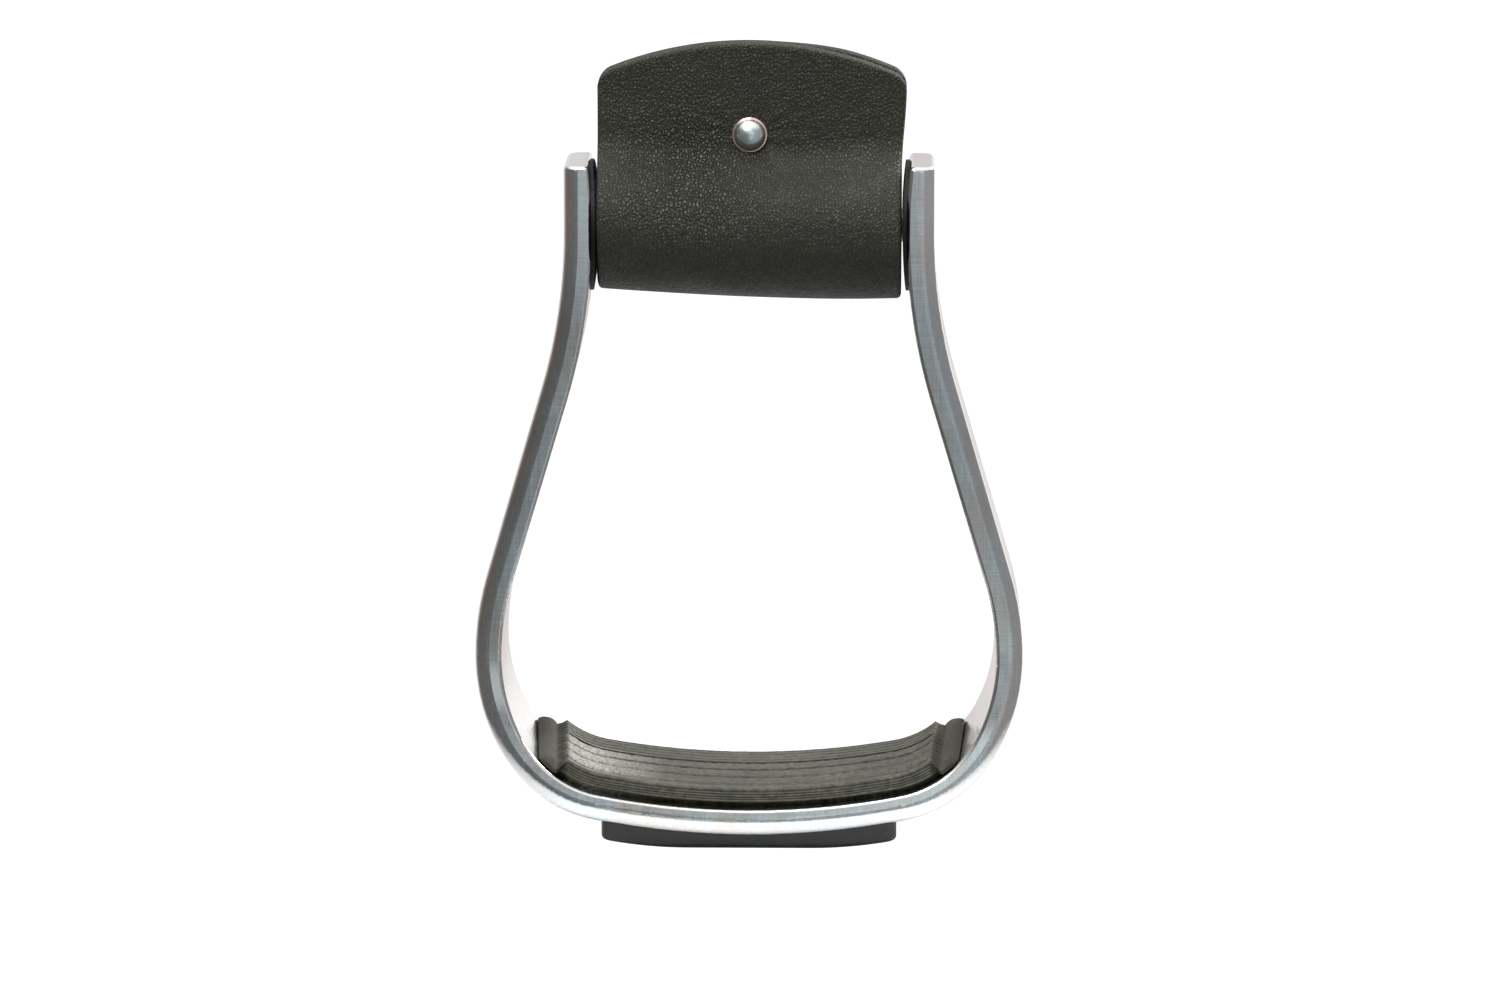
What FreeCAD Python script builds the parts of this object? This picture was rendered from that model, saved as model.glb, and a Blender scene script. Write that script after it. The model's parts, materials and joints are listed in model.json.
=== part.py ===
import FreeCAD, Part
import math
import os

import Sketcher

# A Western stirrup: a cast aluminium bow with a ribbed rubber tread, and a leather-wrapped roller
# that turns on a bolt between the two ears. Millimetres. +X runs along the bolt, +Y from the front
# of the stirrup to its back and +Z up. The origin is on the surface that the stirrup stands on,
# under the middle of the keeper plate.

NAME_COLUMN = "A"
VALUE_COLUMN = "B"
NOTE_COLUMN = "C"

DIMENSIONS = [
    ("keeper_drop", 4.5, "keeper plate, from its underside to the lowest point of the bow"),
    ("neck_width", 76.2, "clear width between the ears at the bolt, 3 inches"),
    ("bow_width", 134.0, "overall width of the bow"),
    ("wide_height", 43.0, "height of the widest point above the bottom of the bow"),
    ("axis_height", 147.5, "height of the bolt above the bottom of the bow"),
    ("ear_rise", 16.0, "top of the ears above the bolt"),
    ("wall", 6.6, "thickness of the bow in the tread and the arms"),
    ("ear_wall", 6.9, "thickness of the ears at the bolt"),
    ("tread_radius", 210.0, "underside of the tread"),
    ("heel_radius", 33.4, "lower corner of the bow"),
    ("flank_radius", 48.0, "outside of the bow below its widest point"),
    ("side_radius", 70.0, "outside of the bow above its widest point"),
    ("neck_radius", 136.0, "outward curve of the arms into the ears"),
    ("tread_depth", 54.0, "bow, front to back, at the bottom, before its edges are rounded"),
    ("arm_depth", 35.0, "bow, front to back, where the lower flare starts"),
    ("ear_depth", 28.0, "bow, front to back, at the top of the ears"),
    ("flare_height", 45.0, "where the lower flare starts"),
    ("outer_round", 3.6, "rounding of the bow's outer edges"),
    ("inner_round", 0.9, "rounding of the bow's inner edges"),
    ("ear_round", 1.2, "rounding of the top of the ears"),
    ("bolt_dia", 8.0, "pivot bolt shank"),
    ("bolt_head_dia", 15.0, "countersunk head of the pivot bolt"),
    ("bolt_slack", 0.05, "radial gap between the bolt and its holes"),
    ("bolt_chamfer", 0.6, "chamfer at the end of the bolt"),
    ("bolt_hex", 5.0, "hexagon socket of the pivot bolt, across flats"),
    ("bolt_hex_depth", 3.4, "depth of that socket"),
    ("washer_dia", 32.0, "disc between an ear and the roller"),
    ("washer_thick", 0.95, "thickness of that disc"),
    ("roller_dia", 22.5, "outside of the roller tube"),
    ("roller_wall", 2.0, "wall of the roller tube"),
    ("roller_gap", 0.35, "end gap between a bush and the disc beside it"),
    ("bush_flange", 1.2, "thickness of the flange of a roller bush"),
    ("bush_flange_dia", 21.6, "flange of a roller bush"),
    ("bush_length", 11.0, "length of a roller bush inside the tube"),
    ("wrap_width", 72.9, "width of the leather wrap"),
    ("leather", 3.2, "thickness of the leather"),
    ("loop_radius", 16.2, "outside of the leather loop under the roller"),
    ("flap_gap", 0.4, "gap between the two flaps"),
    ("pinch_rise", 17.5, "height above the bolt where the flaps come together"),
    ("wrap_rise", 45.0, "top of the leather above the bolt"),
    ("wrap_arch", 92.0, "radius of the arched top edge of the leather"),
    ("wrap_corner", 2.5, "rounding of the leather's upper corners"),
    ("rivet_rise", 22.5, "rivet above the bolt"),
    ("rivet_dia", 8.7, "cap of the rivet"),
    ("rivet_dome", 2.3, "height of the domed cap"),
    ("rivet_rear_dome", 1.5, "height of the flatter rear cap"),
    ("rivet_rim", 0.6, "straight rim of a rivet cap"),
    ("rivet_post_dia", 3.0, "post of the rivet"),
    ("pad_length", 107.4, "rubber pad along the tread, between the tips of its ends"),
    ("pad_depth", 44.0, "rubber pad, front to back"),
    ("pad_thick", 4.8, "thickness of the rubber pad"),
    ("pad_inset", 1.0, "rubber pad behind the front and rear faces of the bow, at its ends"),
    ("pad_corner", 8.0, "corners of the rubber pad, seen from above"),
    ("pad_round", 1.2, "rounding of the upper edges of the rubber pad"),
    ("keeper_length", 72.4, "keeper plate under the tread, side to side"),
    ("keeper_depth", 36.0, "keeper plate, front to back"),
    ("keeper_flat", 30.0, "flat stretch of the underside of the keeper plate"),
    ("keeper_radius", 110.0, "upturn of the underside towards the ends"),
    ("keeper_corner", 2.5, "corners of the keeper plate, seen from below"),
    ("keeper_round", 1.2, "lower edges of the keeper plate"),
    ("screw_spacing", 48.0, "tread screws, side to side"),
    ("screw_pitch", 18.0, "tread screws, front to back"),
    ("screw_dia", 4.0, "tread screw shank"),
    ("screw_slack", 0.15, "radial gap between a screw and the holes of the bow and the plate"),
    ("screw_head_dia", 7.0, "head of a tread screw"),
    ("screw_head_high", 2.6, "height of that head"),
    ("screw_seat", 1.2, "seat of the heads, below the bottom of the bow"),
    ("screw_hex", 3.0, "hexagon socket of a tread screw, across flats"),
    ("screw_hex_depth", 1.6, "depth of that socket"),
    ("seat_dia", 7.6, "recess for a screw head"),
    ("insert_dia", 6.4, "threaded insert in the rubber pad"),
    ("insert_low", 8.7, "lower face of the insert above the bottom of the bow"),
    ("insert_high", 11.7, "upper face of the insert above the bottom of the bow"),
    ("insert_groove", 0.4, "depth of the groove round an insert"),
]

# Vertex numbers that Sketcher uses for a curve, and its numbers for the origin and the axes.
START, END, CENTRE = 1, 2, 3
ORIGIN, X_AXIS, Y_AXIS = -1, -1, -2

# Length of a cut that has to pass right through a piece.
THROUGH = 200.0

doc = FreeCAD.newDocument("stirrup")
sheet = doc.addObject("Spreadsheet::Sheet", "dims")
sheet.Label = "driving dimensions"
for row, (alias, value, note) in enumerate(DIMENSIONS, start=1):
    sheet.set(f"{NAME_COLUMN}{row}", alias)
    sheet.set(f"{VALUE_COLUMN}{row}", str(value))
    sheet.set(f"{NOTE_COLUMN}{row}", note)
    sheet.setAlias(f"{VALUE_COLUMN}{row}", alias)
doc.recompute()

nodes = []


def value(formula):
    """A formula of the sheet's dimensions, as a number."""
    result = sheet.evalExpression(formula)
    return float(getattr(result, "Value", result))


def bind(item, prop, formula):
    """Binds a property to a formula of the sheet's dimensions."""
    item.setExpression(prop, formula)


def raise_to(item, formula):
    """Places a finished sub-part at a height above the surface it stands on."""
    bind(item, "Placement.Base.z", formula)


def new_body(label):
    body = doc.addObject("PartDesign::Body", label)
    body.Label = label
    nodes.append(body)
    return body


def origin_plane(body, role):
    return next(item for item in body.Origin.OriginFeatures if item.Role == role)


def new_sketch(body, name, role):
    sketch = body.newObject("Sketcher::SketchObject", name)
    sketch.AttachmentSupport = [(origin_plane(body, role), "")]
    sketch.MapMode = "FlatFace"
    return sketch


def add_arc(sketch, centre, radius, first, last):
    circle = Part.Circle(FreeCAD.Vector(centre[0], centre[1], 0), FreeCAD.Vector(0, 0, 1), radius)
    return sketch.addGeometry(Part.ArcOfCircle(circle, first, last), False)


def add_line(sketch, first, last):
    ends = [FreeCAD.Vector(point[0], point[1], 0) for point in (first, last)]
    return sketch.addGeometry(Part.LineSegment(*ends), False)


def fix(sketch, *arguments):
    """Adds a geometric constraint, such as a tangency."""
    return sketch.addConstraint(Sketcher.Constraint(*arguments))


def size(sketch, formula, *arguments):
    """Adds a dimension that follows a formula of the sheet."""
    number = sketch.addConstraint(Sketcher.Constraint(*arguments, value(formula)))
    sketch.setExpression(f"Constraints[{number}]", formula)


def place_point(sketch, curve, vertex, across, up):
    """Sizes a point from the sketch's origin. None leaves that direction free."""
    for kind, formula, axis in (("DistanceX", across, Y_AXIS), ("DistanceY", up, X_AXIS)):
        if formula == "0":
            fix(sketch, "PointOnObject", curve, vertex, axis)
        elif formula is not None:
            size(sketch, formula, kind, ORIGIN, START, curve, vertex)


def add_polygon(sketch, corners):
    """A closed outline of straight lines, each corner bound to two formulas."""
    points = [(value(across), value(up)) for across, up in corners]
    lines = [add_line(sketch, point, points[(i + 1) % len(points)])
             for i, point in enumerate(points)]
    for i, line in enumerate(lines):
        fix(sketch, "Coincident", line, END, lines[(i + 1) % len(lines)], START)
        place_point(sketch, line, START, *corners[i])


def add_circle(sketch, radius, across, up):
    centre = FreeCAD.Vector(value(across), value(up), 0)
    circle = Part.Circle(centre, FreeCAD.Vector(0, 0, 1), value(radius))
    number = sketch.addGeometry(circle, False)
    size(sketch, radius, "Radius", number)
    place_point(sketch, number, CENTRE, across, up)


def pad_both_ways(body, name, sketch, length):
    pad = body.newObject("PartDesign::Pad", name)
    pad.Profile = sketch
    pad.SideType = "Symmetric"
    bind(pad, "Length", length)
    body.Tip = pad
    return pad


def mirror_across(body, name, feature, role):
    mirrored = body.newObject("PartDesign::Mirrored", name)
    mirrored.Originals = [feature]
    mirrored.MirrorPlane = (origin_plane(body, role), [""])
    body.Tip = mirrored
    doc.recompute()
    return mirrored


def cut(body, name, sketch, length=None, both_ways=False, reverse=False):
    """A pocket, checked to have taken something away."""
    before = body.Shape.Volume
    pocket = body.newObject("PartDesign::Pocket", name)
    pocket.Profile = sketch
    pocket.Reversed = reverse
    if both_ways:
        pocket.SideType = "Symmetric"
    if length is None:
        pocket.Length = THROUGH
    else:
        bind(pocket, "Length", length)
    body.Tip = pocket
    doc.recompute()
    if body.Shape.Volume >= before:
        raise RuntimeError(f"{body.Label}: {name} cut nothing")
    return pocket


def revolve(body, name, sketch, axis):
    turned = body.newObject("PartDesign::Revolution", name)
    turned.Profile = sketch
    turned.ReferenceAxis = (sketch, [axis])
    turned.Angle = 360
    body.Tip = turned
    doc.recompute()
    return turned


def round_edges(body, name, radius, wanted):
    """Rounds every edge of the body that the test accepts."""
    base = body.Tip
    shape = base.Shape
    edges = [f"Edge{i}" for i, edge in enumerate(shape.Edges, start=1) if wanted(shape, edge)]
    if not edges:
        raise RuntimeError(f"{body.Label}: {name} found no edge")
    fillet = body.newObject("PartDesign::Fillet", name)
    fillet.Base = (base, edges)
    bind(fillet, "Radius", radius)
    body.Tip = fillet
    doc.recompute()
    return fillet


def faces_beside(shape, edge):
    """The middle of an edge, and the unit normals there of the faces that meet at it."""
    middle = edge.valueAt((edge.FirstParameter + edge.LastParameter) / 2)
    normals = []
    for face in shape.ancestorsOfType(edge, Part.Face):
        u, v = face.Surface.parameter(middle)
        normals.append(face.normalAt(u, v))
    return middle, normals


def circle_meeting(first, first_radius, second, second_radius):
    """The point at the given distances from two centres, to the right of a way down between them."""
    along = FreeCAD.Vector(second[0] - first[0], second[1] - first[1], 0)
    gap = along.Length
    reach = (first_radius ** 2 - second_radius ** 2 + gap ** 2) / (2 * gap)
    rise = math.sqrt(first_radius ** 2 - reach ** 2)
    along.normalize()
    return (first[0] + along.x * reach - along.y * rise,
            first[1] + along.y * reach + along.x * rise)


def direction(start, end):
    return math.atan2(end[1] - start[1], end[0] - start[0])


def point_at(centre, radius, angle):
    return (centre[0] + radius * math.cos(angle), centre[1] + radius * math.sin(angle))


# ---- the bow's outline -------------------------------------------------------------------------

HALF_BOW = "dims.bow_width / 2"
EAR_OUTSIDE = "dims.neck_width / 2 + dims.ear_wall"
EAR_TOP = "dims.axis_height + dims.ear_rise"


def bow_centres():
    """Centres of the arcs of the bow's right half, as (across, up)."""
    half = value(HALF_BOW)
    height = value("dims.wide_height")
    tread = (0.0, value("dims.tread_radius"))
    flank = (half - value("dims.flank_radius"), height)
    side = (half - value("dims.side_radius"), height)
    neck = (value(EAR_OUTSIDE) + value("dims.neck_radius"), value("dims.axis_height"))
    heel = circle_meeting(tread, value("dims.tread_radius - dims.heel_radius"),
                          flank, value("dims.flank_radius - dims.heel_radius"))
    return tread, heel, flank, side, neck


def arm_lean(side, side_radius, neck, neck_radius):
    """Lean of the straight arm that touches the side arc and, beyond it, the neck arc."""
    gap = math.dist(side, neck)
    return direction(side, neck) - math.acos((side_radius + neck_radius) / gap)


def bow_outline(sketch):
    """Right half of the bow, seen from the front: tangent arcs and a straight arm, in and out."""
    tread, heel, flank, side, neck = bow_centres()
    down = -math.pi / 2
    tread_end = direction(tread, heel)
    flank_start = direction(flank, heel)

    def tread_to_arm(inset):
        radii = [value(f"dims.{name}_radius") - inset for name in ("tread", "heel", "flank", "side")]
        neck_radius = value("dims.neck_radius") + (value("dims.ear_wall") if inset else 0.0)
        lean = arm_lean(side, radii[3], neck, neck_radius)
        arcs = [add_arc(sketch, tread, radii[0], down, tread_end),
                add_arc(sketch, heel, radii[1], tread_end, flank_start),
                add_arc(sketch, flank, radii[2], flank_start, 0.0),
                add_arc(sketch, side, radii[3], 0.0, lean)]
        arm = add_line(sketch, point_at(side, radii[3], lean),
                       point_at(neck, neck_radius, lean + math.pi))
        for lower, upper in zip(arcs, arcs[1:] + [arm]):
            fix(sketch, "Tangent", lower, END, upper, START)
        return arcs, arm, neck_radius, lean

    outer, outer_arm, neck_radius, lean = tread_to_arm(0.0)
    outer_neck = add_arc(sketch, neck, neck_radius, math.pi, math.pi + lean)
    fix(sketch, "Tangent", outer_arm, END, outer_neck, END)
    fix(sketch, "Coincident", outer[0], START, ORIGIN, START)
    fix(sketch, "PointOnObject", outer[0], CENTRE, Y_AXIS)
    for arc, name in zip(outer + [outer_neck], ("tread", "heel", "flank", "side", "neck")):
        size(sketch, f"dims.{name}_radius", "Radius", arc)
    place_point(sketch, outer[3], START, HALF_BOW, "dims.wide_height")
    fix(sketch, "Horizontal", outer[3], CENTRE, outer[3], START)
    place_point(sketch, outer_neck, START, EAR_OUTSIDE, "dims.axis_height")
    fix(sketch, "Horizontal", outer_neck, CENTRE, outer_neck, START)

    inner, inner_arm, inner_radius, lean = tread_to_arm(value("dims.wall"))
    above = math.asin(value("dims.ear_rise") / inner_radius)
    inner_neck = add_arc(sketch, neck, inner_radius, math.pi - above, math.pi + lean)
    fix(sketch, "Tangent", inner_arm, END, inner_neck, END)
    for arc, partner in zip(inner + [inner_neck], outer + [outer_neck]):
        fix(sketch, "Coincident", arc, CENTRE, partner, CENTRE)
    size(sketch, "dims.side_radius - dims.wall", "Radius", inner[3])
    size(sketch, "dims.neck_radius + dims.ear_wall", "Radius", inner_neck)
    fix(sketch, "PointOnObject", inner[0], START, Y_AXIS)

    top = value(EAR_TOP)
    corner = (value(EAR_OUTSIDE), top)
    inner_corner = point_at(neck, inner_radius, math.pi - above)
    ear_side = add_line(sketch, (corner[0], neck[1]), corner)
    ear_top = add_line(sketch, corner, inner_corner)
    middle = add_line(sketch, (0.0, value("dims.wall")), (0.0, 0.0))
    fix(sketch, "Coincident", outer_neck, START, ear_side, START)
    fix(sketch, "Vertical", ear_side)
    fix(sketch, "Coincident", ear_side, END, ear_top, START)
    fix(sketch, "Horizontal", ear_top)
    size(sketch, EAR_TOP, "DistanceY", ORIGIN, START, ear_side, END)
    fix(sketch, "Coincident", ear_top, END, inner_neck, START)
    fix(sketch, "Coincident", inner[0], START, middle, START)
    fix(sketch, "Coincident", middle, END, outer[0], START)


def screw_places():
    """(suffix, across, along) for the four tread screws, as formulas."""
    for end, along in (("front", "-dims.screw_pitch / 2"), ("rear", "dims.screw_pitch / 2")):
        for hand, across in (("left", "-dims.screw_spacing / 2"), ("right", "dims.screw_spacing / 2")):
            yield f"{end}_{hand}", across, along


def drill_for_screws(body, name, dia, length):
    """Four round holes, upwards from the level of the body's origin."""
    sketch = new_sketch(body, f"{name}_circles", "XY_Plane")
    for _, across, along in screw_places():
        add_circle(sketch, dia, across, along)
    return cut(body, name, sketch, length, reverse=True)


# ---- the cast bow ------------------------------------------------------------------------------


def taper_outline(sketch, inset):
    """What is cut away at the rear, seen from the side, to slim a piece towards the ears."""
    tread_at, arm_at, ear_at = (f"dims.{name}_depth / 2 - {inset}" for name in ("tread", "arm", "ear"))
    tread, arm, ear = value(tread_at), value(arm_at), value(ear_at)
    flare, top = value("dims.flare_height"), value(EAR_TOP)
    lean = math.atan((arm - ear) / (top - flare))
    outward = FreeCAD.Vector(math.cos(lean), math.sin(lean), 0)
    drop = FreeCAD.Vector(tread - arm, -flare, 0)
    radius = drop.dot(drop) / (2 * outward.dot(drop))
    centre = (arm + radius * outward.x, flare + radius * outward.y)

    curve = add_arc(sketch, centre, radius, math.pi + lean, direction(centre, (tread, 0.0)) % math.tau)
    straight = add_line(sketch, (arm, flare), (ear, top))
    over = add_line(sketch, (ear, top), (tread, top))
    back = add_line(sketch, (tread, top), (tread, 0.0))
    fix(sketch, "Tangent", curve, START, straight, START)
    fix(sketch, "Coincident", straight, END, over, START)
    fix(sketch, "Coincident", over, END, back, START)
    fix(sketch, "Coincident", back, END, curve, END)
    place_point(sketch, straight, START, arm_at, "dims.flare_height")
    place_point(sketch, straight, END, ear_at, EAR_TOP)
    place_point(sketch, over, END, tread_at, EAR_TOP)
    place_point(sketch, back, END, tread_at, "0")


def bow_edge(shape, edge, side):
    """True for a long edge of the bow's outside, where side is 1, or of its inside, where it is -1."""
    middle, normals = faces_beside(shape, edge)
    outline = [normal for normal in normals if abs(normal.y) < 0.2]
    front_or_back = [normal for normal in normals if abs(normal.y) > 0.8]
    if not outline or not front_or_back or middle.z > value(EAR_TOP) - 0.01:
        return False
    from_opening = middle - FreeCAD.Vector(0, middle.y, value("dims.axis_height / 2"))
    return outline[0].dot(from_opening) * side > 0


def ear_edge(shape, edge):
    """True for an edge round the top of an ear."""
    return edge.BoundBox.ZMin > value(EAR_TOP) - 0.01


def build_bow():
    """One aluminium casting, deep at the tread and slimmer towards the ears."""
    body = new_body("stirrup_frame")
    outline = new_sketch(body, "outline", "XZ_Plane")
    bow_outline(outline)
    half = pad_both_ways(body, "half_bow", outline, "dims.tread_depth")
    mirror_across(body, "whole_bow", half, "YZ_Plane")

    waste = new_sketch(body, "waste", "YZ_Plane")
    taper_outline(waste, "0")
    rear_taper = cut(body, "rear_taper", waste, both_ways=True)
    mirror_across(body, "front_taper", rear_taper, "XZ_Plane")

    round_edges(body, "outer_edges", "dims.outer_round", lambda shape, edge: bow_edge(shape, edge, 1))
    round_edges(body, "inner_edges", "dims.inner_round", lambda shape, edge: bow_edge(shape, edge, -1))
    round_edges(body, "ear_edges", "dims.ear_round", ear_edge)

    circle = new_sketch(body, "bolt_circle", "YZ_Plane")
    add_circle(circle, "dims.bolt_dia / 2 + dims.bolt_slack", "0", "dims.axis_height")
    cut(body, "bolt_hole", circle, both_ways=True)
    cone = new_sketch(body, "countersink_profile", "XZ_Plane")
    axis, shank, head = (f"dims.axis_height + {reach}" for reach in
                         ("0", "dims.bolt_dia / 2 + dims.bolt_slack",
                          "dims.bolt_head_dia / 2 + dims.bolt_slack"))
    beyond = f"{EAR_OUTSIDE} + dims.ear_wall"
    add_polygon(cone, [(HEAD_START, axis), (HEAD_START, shank), (EAR_OUTSIDE, head),
                       (beyond, head), (beyond, axis)])
    middle = add_line(cone, (0.0, value(axis)), (value(EAR_OUTSIDE), value(axis)))
    cone.setConstruction(middle, True)
    place_point(cone, middle, START, "0", axis)
    place_point(cone, middle, END, EAR_OUTSIDE, axis)
    groove = body.newObject("PartDesign::Groove", "countersink")
    groove.Profile = cone
    groove.ReferenceAxis = (cone, ["Axis0"])
    groove.Angle = 360
    body.Tip = groove
    doc.recompute()
    drill_for_screws(body, "screw_holes", SCREW_HOLE, "dims.insert_high")
    raise_to(body, "dims.keeper_drop")


# ---- the bolt and the roller -------------------------------------------------------------------

HEAD_START = f"{EAR_OUTSIDE} - (dims.bolt_head_dia - dims.bolt_dia) / 2"
BOLT_HEIGHT = "dims.keeper_drop + dims.axis_height"
BUSH_END = "dims.neck_width / 2 - dims.washer_thick - dims.roller_gap"
SCREW_HOLE = "dims.screw_dia / 2 + dims.screw_slack"


def add_hexagon(sketch, across_flats):
    corners = [(f"{across_flats} / sqrt(3) * cos({60 * i} deg)",
                f"{across_flats} / sqrt(3) * sin({60 * i} deg)") for i in range(6)]
    add_polygon(sketch, corners)


def build_bolt():
    """Countersunk bolt, its head flush in the right ear and its thread in the left ear."""
    body = new_body("pivot_bolt")
    profile = new_sketch(body, "profile", "XZ_Plane")
    tip = f"-({EAR_OUTSIDE})"
    radius = "dims.bolt_dia / 2"
    add_polygon(profile, [(tip, "0"), (tip, f"{radius} - dims.bolt_chamfer"),
                          (f"{tip} + dims.bolt_chamfer", radius), (HEAD_START, radius),
                          (EAR_OUTSIDE, "dims.bolt_head_dia / 2"), (EAR_OUTSIDE, "0")])
    revolve(body, "turned", profile, "H_Axis")
    socket = new_sketch(body, "socket_outline", "YZ_Plane")
    bind(socket, "AttachmentOffset.Base.z", EAR_OUTSIDE)
    add_hexagon(socket, "dims.bolt_hex")
    cut(body, "socket", socket, "dims.bolt_hex_depth")
    raise_to(body, BOLT_HEIGHT)


def cylinder(name, radius, length, turn=None):
    """A Part cylinder along Z, or turned about Y to lie along X, or about X to lie along Y."""
    item = doc.addObject("Part::Cylinder", name)
    bind(item, "Radius", radius)
    bind(item, "Height", length)
    if turn:
        item.Placement.Rotation = FreeCAD.Rotation(turn, 90)
    return item


ALONG_X = FreeCAD.Vector(0, 1, 0)
ALONG_Y = FreeCAD.Vector(-1, 0, 0)


def boolean(kind, name, base, tool):
    result = doc.addObject(f"Part::{kind}", name)
    result.Base = base
    result.Tool = tool
    return result


def build_ear_washers():
    """Thin black discs that lie on the hollow inner faces of the ears."""
    neck = "dims.neck_radius + dims.ear_wall"
    for hand, side in (("left", -1), ("right", 1)):
        shell = []
        for name, extra in (("near", "dims.washer_thick"), ("far", "0")):
            drum = cylinder(f"{name}_drum_{hand}", f"{neck} + {extra}", "dims.washer_dia * 2", ALONG_Y)
            bind(drum, "Placement.Base.x", f"{side} * (dims.neck_width / 2 + {neck})")
            bind(drum, "Placement.Base.y", "-dims.washer_dia")
            shell.append(drum)
        skin = boolean("Cut", f"skin_{hand}", *shell)
        disc = cylinder(f"disc_{hand}", "dims.washer_dia / 2", "dims.neck_width", ALONG_X)
        bind(disc, "Placement.Base.x", "0" if side > 0 else "-dims.neck_width")
        hole = cylinder(f"hole_{hand}", "dims.bolt_dia / 2 + dims.bolt_slack",
                        "dims.neck_width * 2", ALONG_X)
        bind(hole, "Placement.Base.x", "-dims.neck_width")
        blank = boolean("Common", f"blank_{hand}", skin, disc)
        washer = boolean("Cut", f"ear_washer_{hand}", blank, hole)
        washer.Label = f"ear_washer_{hand}"
        raise_to(washer, BOLT_HEIGHT)
        nodes.append(washer)


def build_roller():
    """Steel tube that turns on the bolt in two flanged nylon bushes."""
    half = f"({BUSH_END} - dims.bush_flange)"
    bore = "dims.roller_dia / 2 - dims.roller_wall"
    outside = cylinder("tube_outside", "dims.roller_dia / 2", f"2 * {half}", ALONG_X)
    inside = cylinder("tube_inside", bore, f"2 * {half}", ALONG_X)
    for item in (outside, inside):
        bind(item, "Placement.Base.x", f"-{half}")
    tube = boolean("Cut", "roller_tube", outside, inside)
    tube.Label = "roller_tube"
    raise_to(tube, BOLT_HEIGHT)
    nodes.append(tube)

    for hand, side in (("left", -1), ("right", 1)):
        body = new_body(f"roller_bush_{hand}")
        profile = new_sketch(body, "profile", "XZ_Plane")
        hole = "dims.bolt_dia / 2 + dims.bolt_slack"
        ends = [f"{side} * ({reach})" for reach in
                (f"{half} - dims.bush_length", half, BUSH_END)]
        flange = "dims.bush_flange_dia / 2"
        add_polygon(profile, [(ends[0], hole), (ends[0], bore), (ends[1], bore),
                              (ends[1], flange), (ends[2], flange), (ends[2], hole)])
        revolve(body, "turned", profile, "H_Axis")
        raise_to(body, BOLT_HEIGHT)


# ---- the leather wrap --------------------------------------------------------------------------


def wrap_outline(sketch):
    """Rear half of the wrap, seen from its end: a loop, a sloping run and a flap, one thickness."""
    outer = value("dims.loop_radius")
    inner = outer - value("dims.leather")
    near, pinch = value("dims.flap_gap / 2"), value("dims.pinch_rise")
    far, top = near + value("dims.leather"), value("dims.wrap_rise")
    reach = math.hypot(far, pinch)
    touch = math.atan2(pinch, far) - math.acos(outer / reach)
    down = -math.pi / 2

    loop = add_arc(sketch, (0, 0), outer, down, touch)
    slope = add_line(sketch, point_at((0, 0), outer, touch), (far, pinch))
    flap = add_line(sketch, (far, pinch), (far, top))
    edge = add_line(sketch, (far, top), (near, top))
    inner_pinch = pinch - (far - near) * math.tan(touch / 2)
    flap_inside = add_line(sketch, (near, top), (near, inner_pinch))
    slope_inside = add_line(sketch, (near, inner_pinch), point_at((0, 0), inner, touch))
    loop_inside = add_arc(sketch, (0, 0), inner, down, touch)
    middle = add_line(sketch, (0, -inner), (0, -outer))

    for arc, radius in ((loop, "dims.loop_radius"), (loop_inside, "dims.loop_radius - dims.leather")):
        fix(sketch, "Coincident", arc, CENTRE, ORIGIN, START)
        fix(sketch, "PointOnObject", arc, START, Y_AXIS)
        size(sketch, radius, "Radius", arc)
    fix(sketch, "Tangent", loop, END, slope, START)
    fix(sketch, "Tangent", loop_inside, END, slope_inside, END)
    for first, second in ((slope, flap), (flap, edge), (edge, flap_inside),
                          (flap_inside, slope_inside)):
        fix(sketch, "Coincident", first, END, second, START)
    fix(sketch, "Coincident", loop_inside, START, middle, START)
    fix(sketch, "Coincident", middle, END, loop, START)
    fix(sketch, "Parallel", slope, slope_inside)
    fix(sketch, "Vertical", flap)
    fix(sketch, "Vertical", flap_inside)
    fix(sketch, "Horizontal", edge)
    place_point(sketch, flap, START, "dims.flap_gap / 2 + dims.leather", "dims.pinch_rise")
    place_point(sketch, edge, END, "dims.flap_gap / 2", "dims.wrap_rise")


def arch_outline(sketch):
    """What is cut away above the arched top edge, on the right half."""
    half, rise = value("dims.wrap_width / 2"), value("dims.wrap_rise")
    radius = value("dims.wrap_arch")
    centre = (0.0, rise - radius)
    end = math.acos(half / radius)
    corner = point_at(centre, radius, end)
    arch = add_arc(sketch, centre, radius, end, math.pi / 2)
    over = add_line(sketch, (0.0, rise), (half, rise))
    side = add_line(sketch, (half, rise), corner)
    fix(sketch, "PointOnObject", arch, CENTRE, Y_AXIS)
    size(sketch, "dims.wrap_arch", "Radius", arch)
    fix(sketch, "Coincident", arch, END, over, START)
    fix(sketch, "Coincident", over, END, side, START)
    fix(sketch, "Coincident", side, END, arch, START)
    fix(sketch, "Vertical", side)
    place_point(sketch, over, START, "0", "dims.wrap_rise")
    place_point(sketch, over, END, "dims.wrap_width / 2", "dims.wrap_rise")


def upper_corner(shape, edge):
    """True for an edge through a flap at one of its upper corners."""
    middle, box = edge.CenterOfMass, edge.BoundBox
    through = box.XLength < 0.01 and box.ZLength < 0.01
    return through and middle.z > value("dims.rivet_rise")


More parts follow.
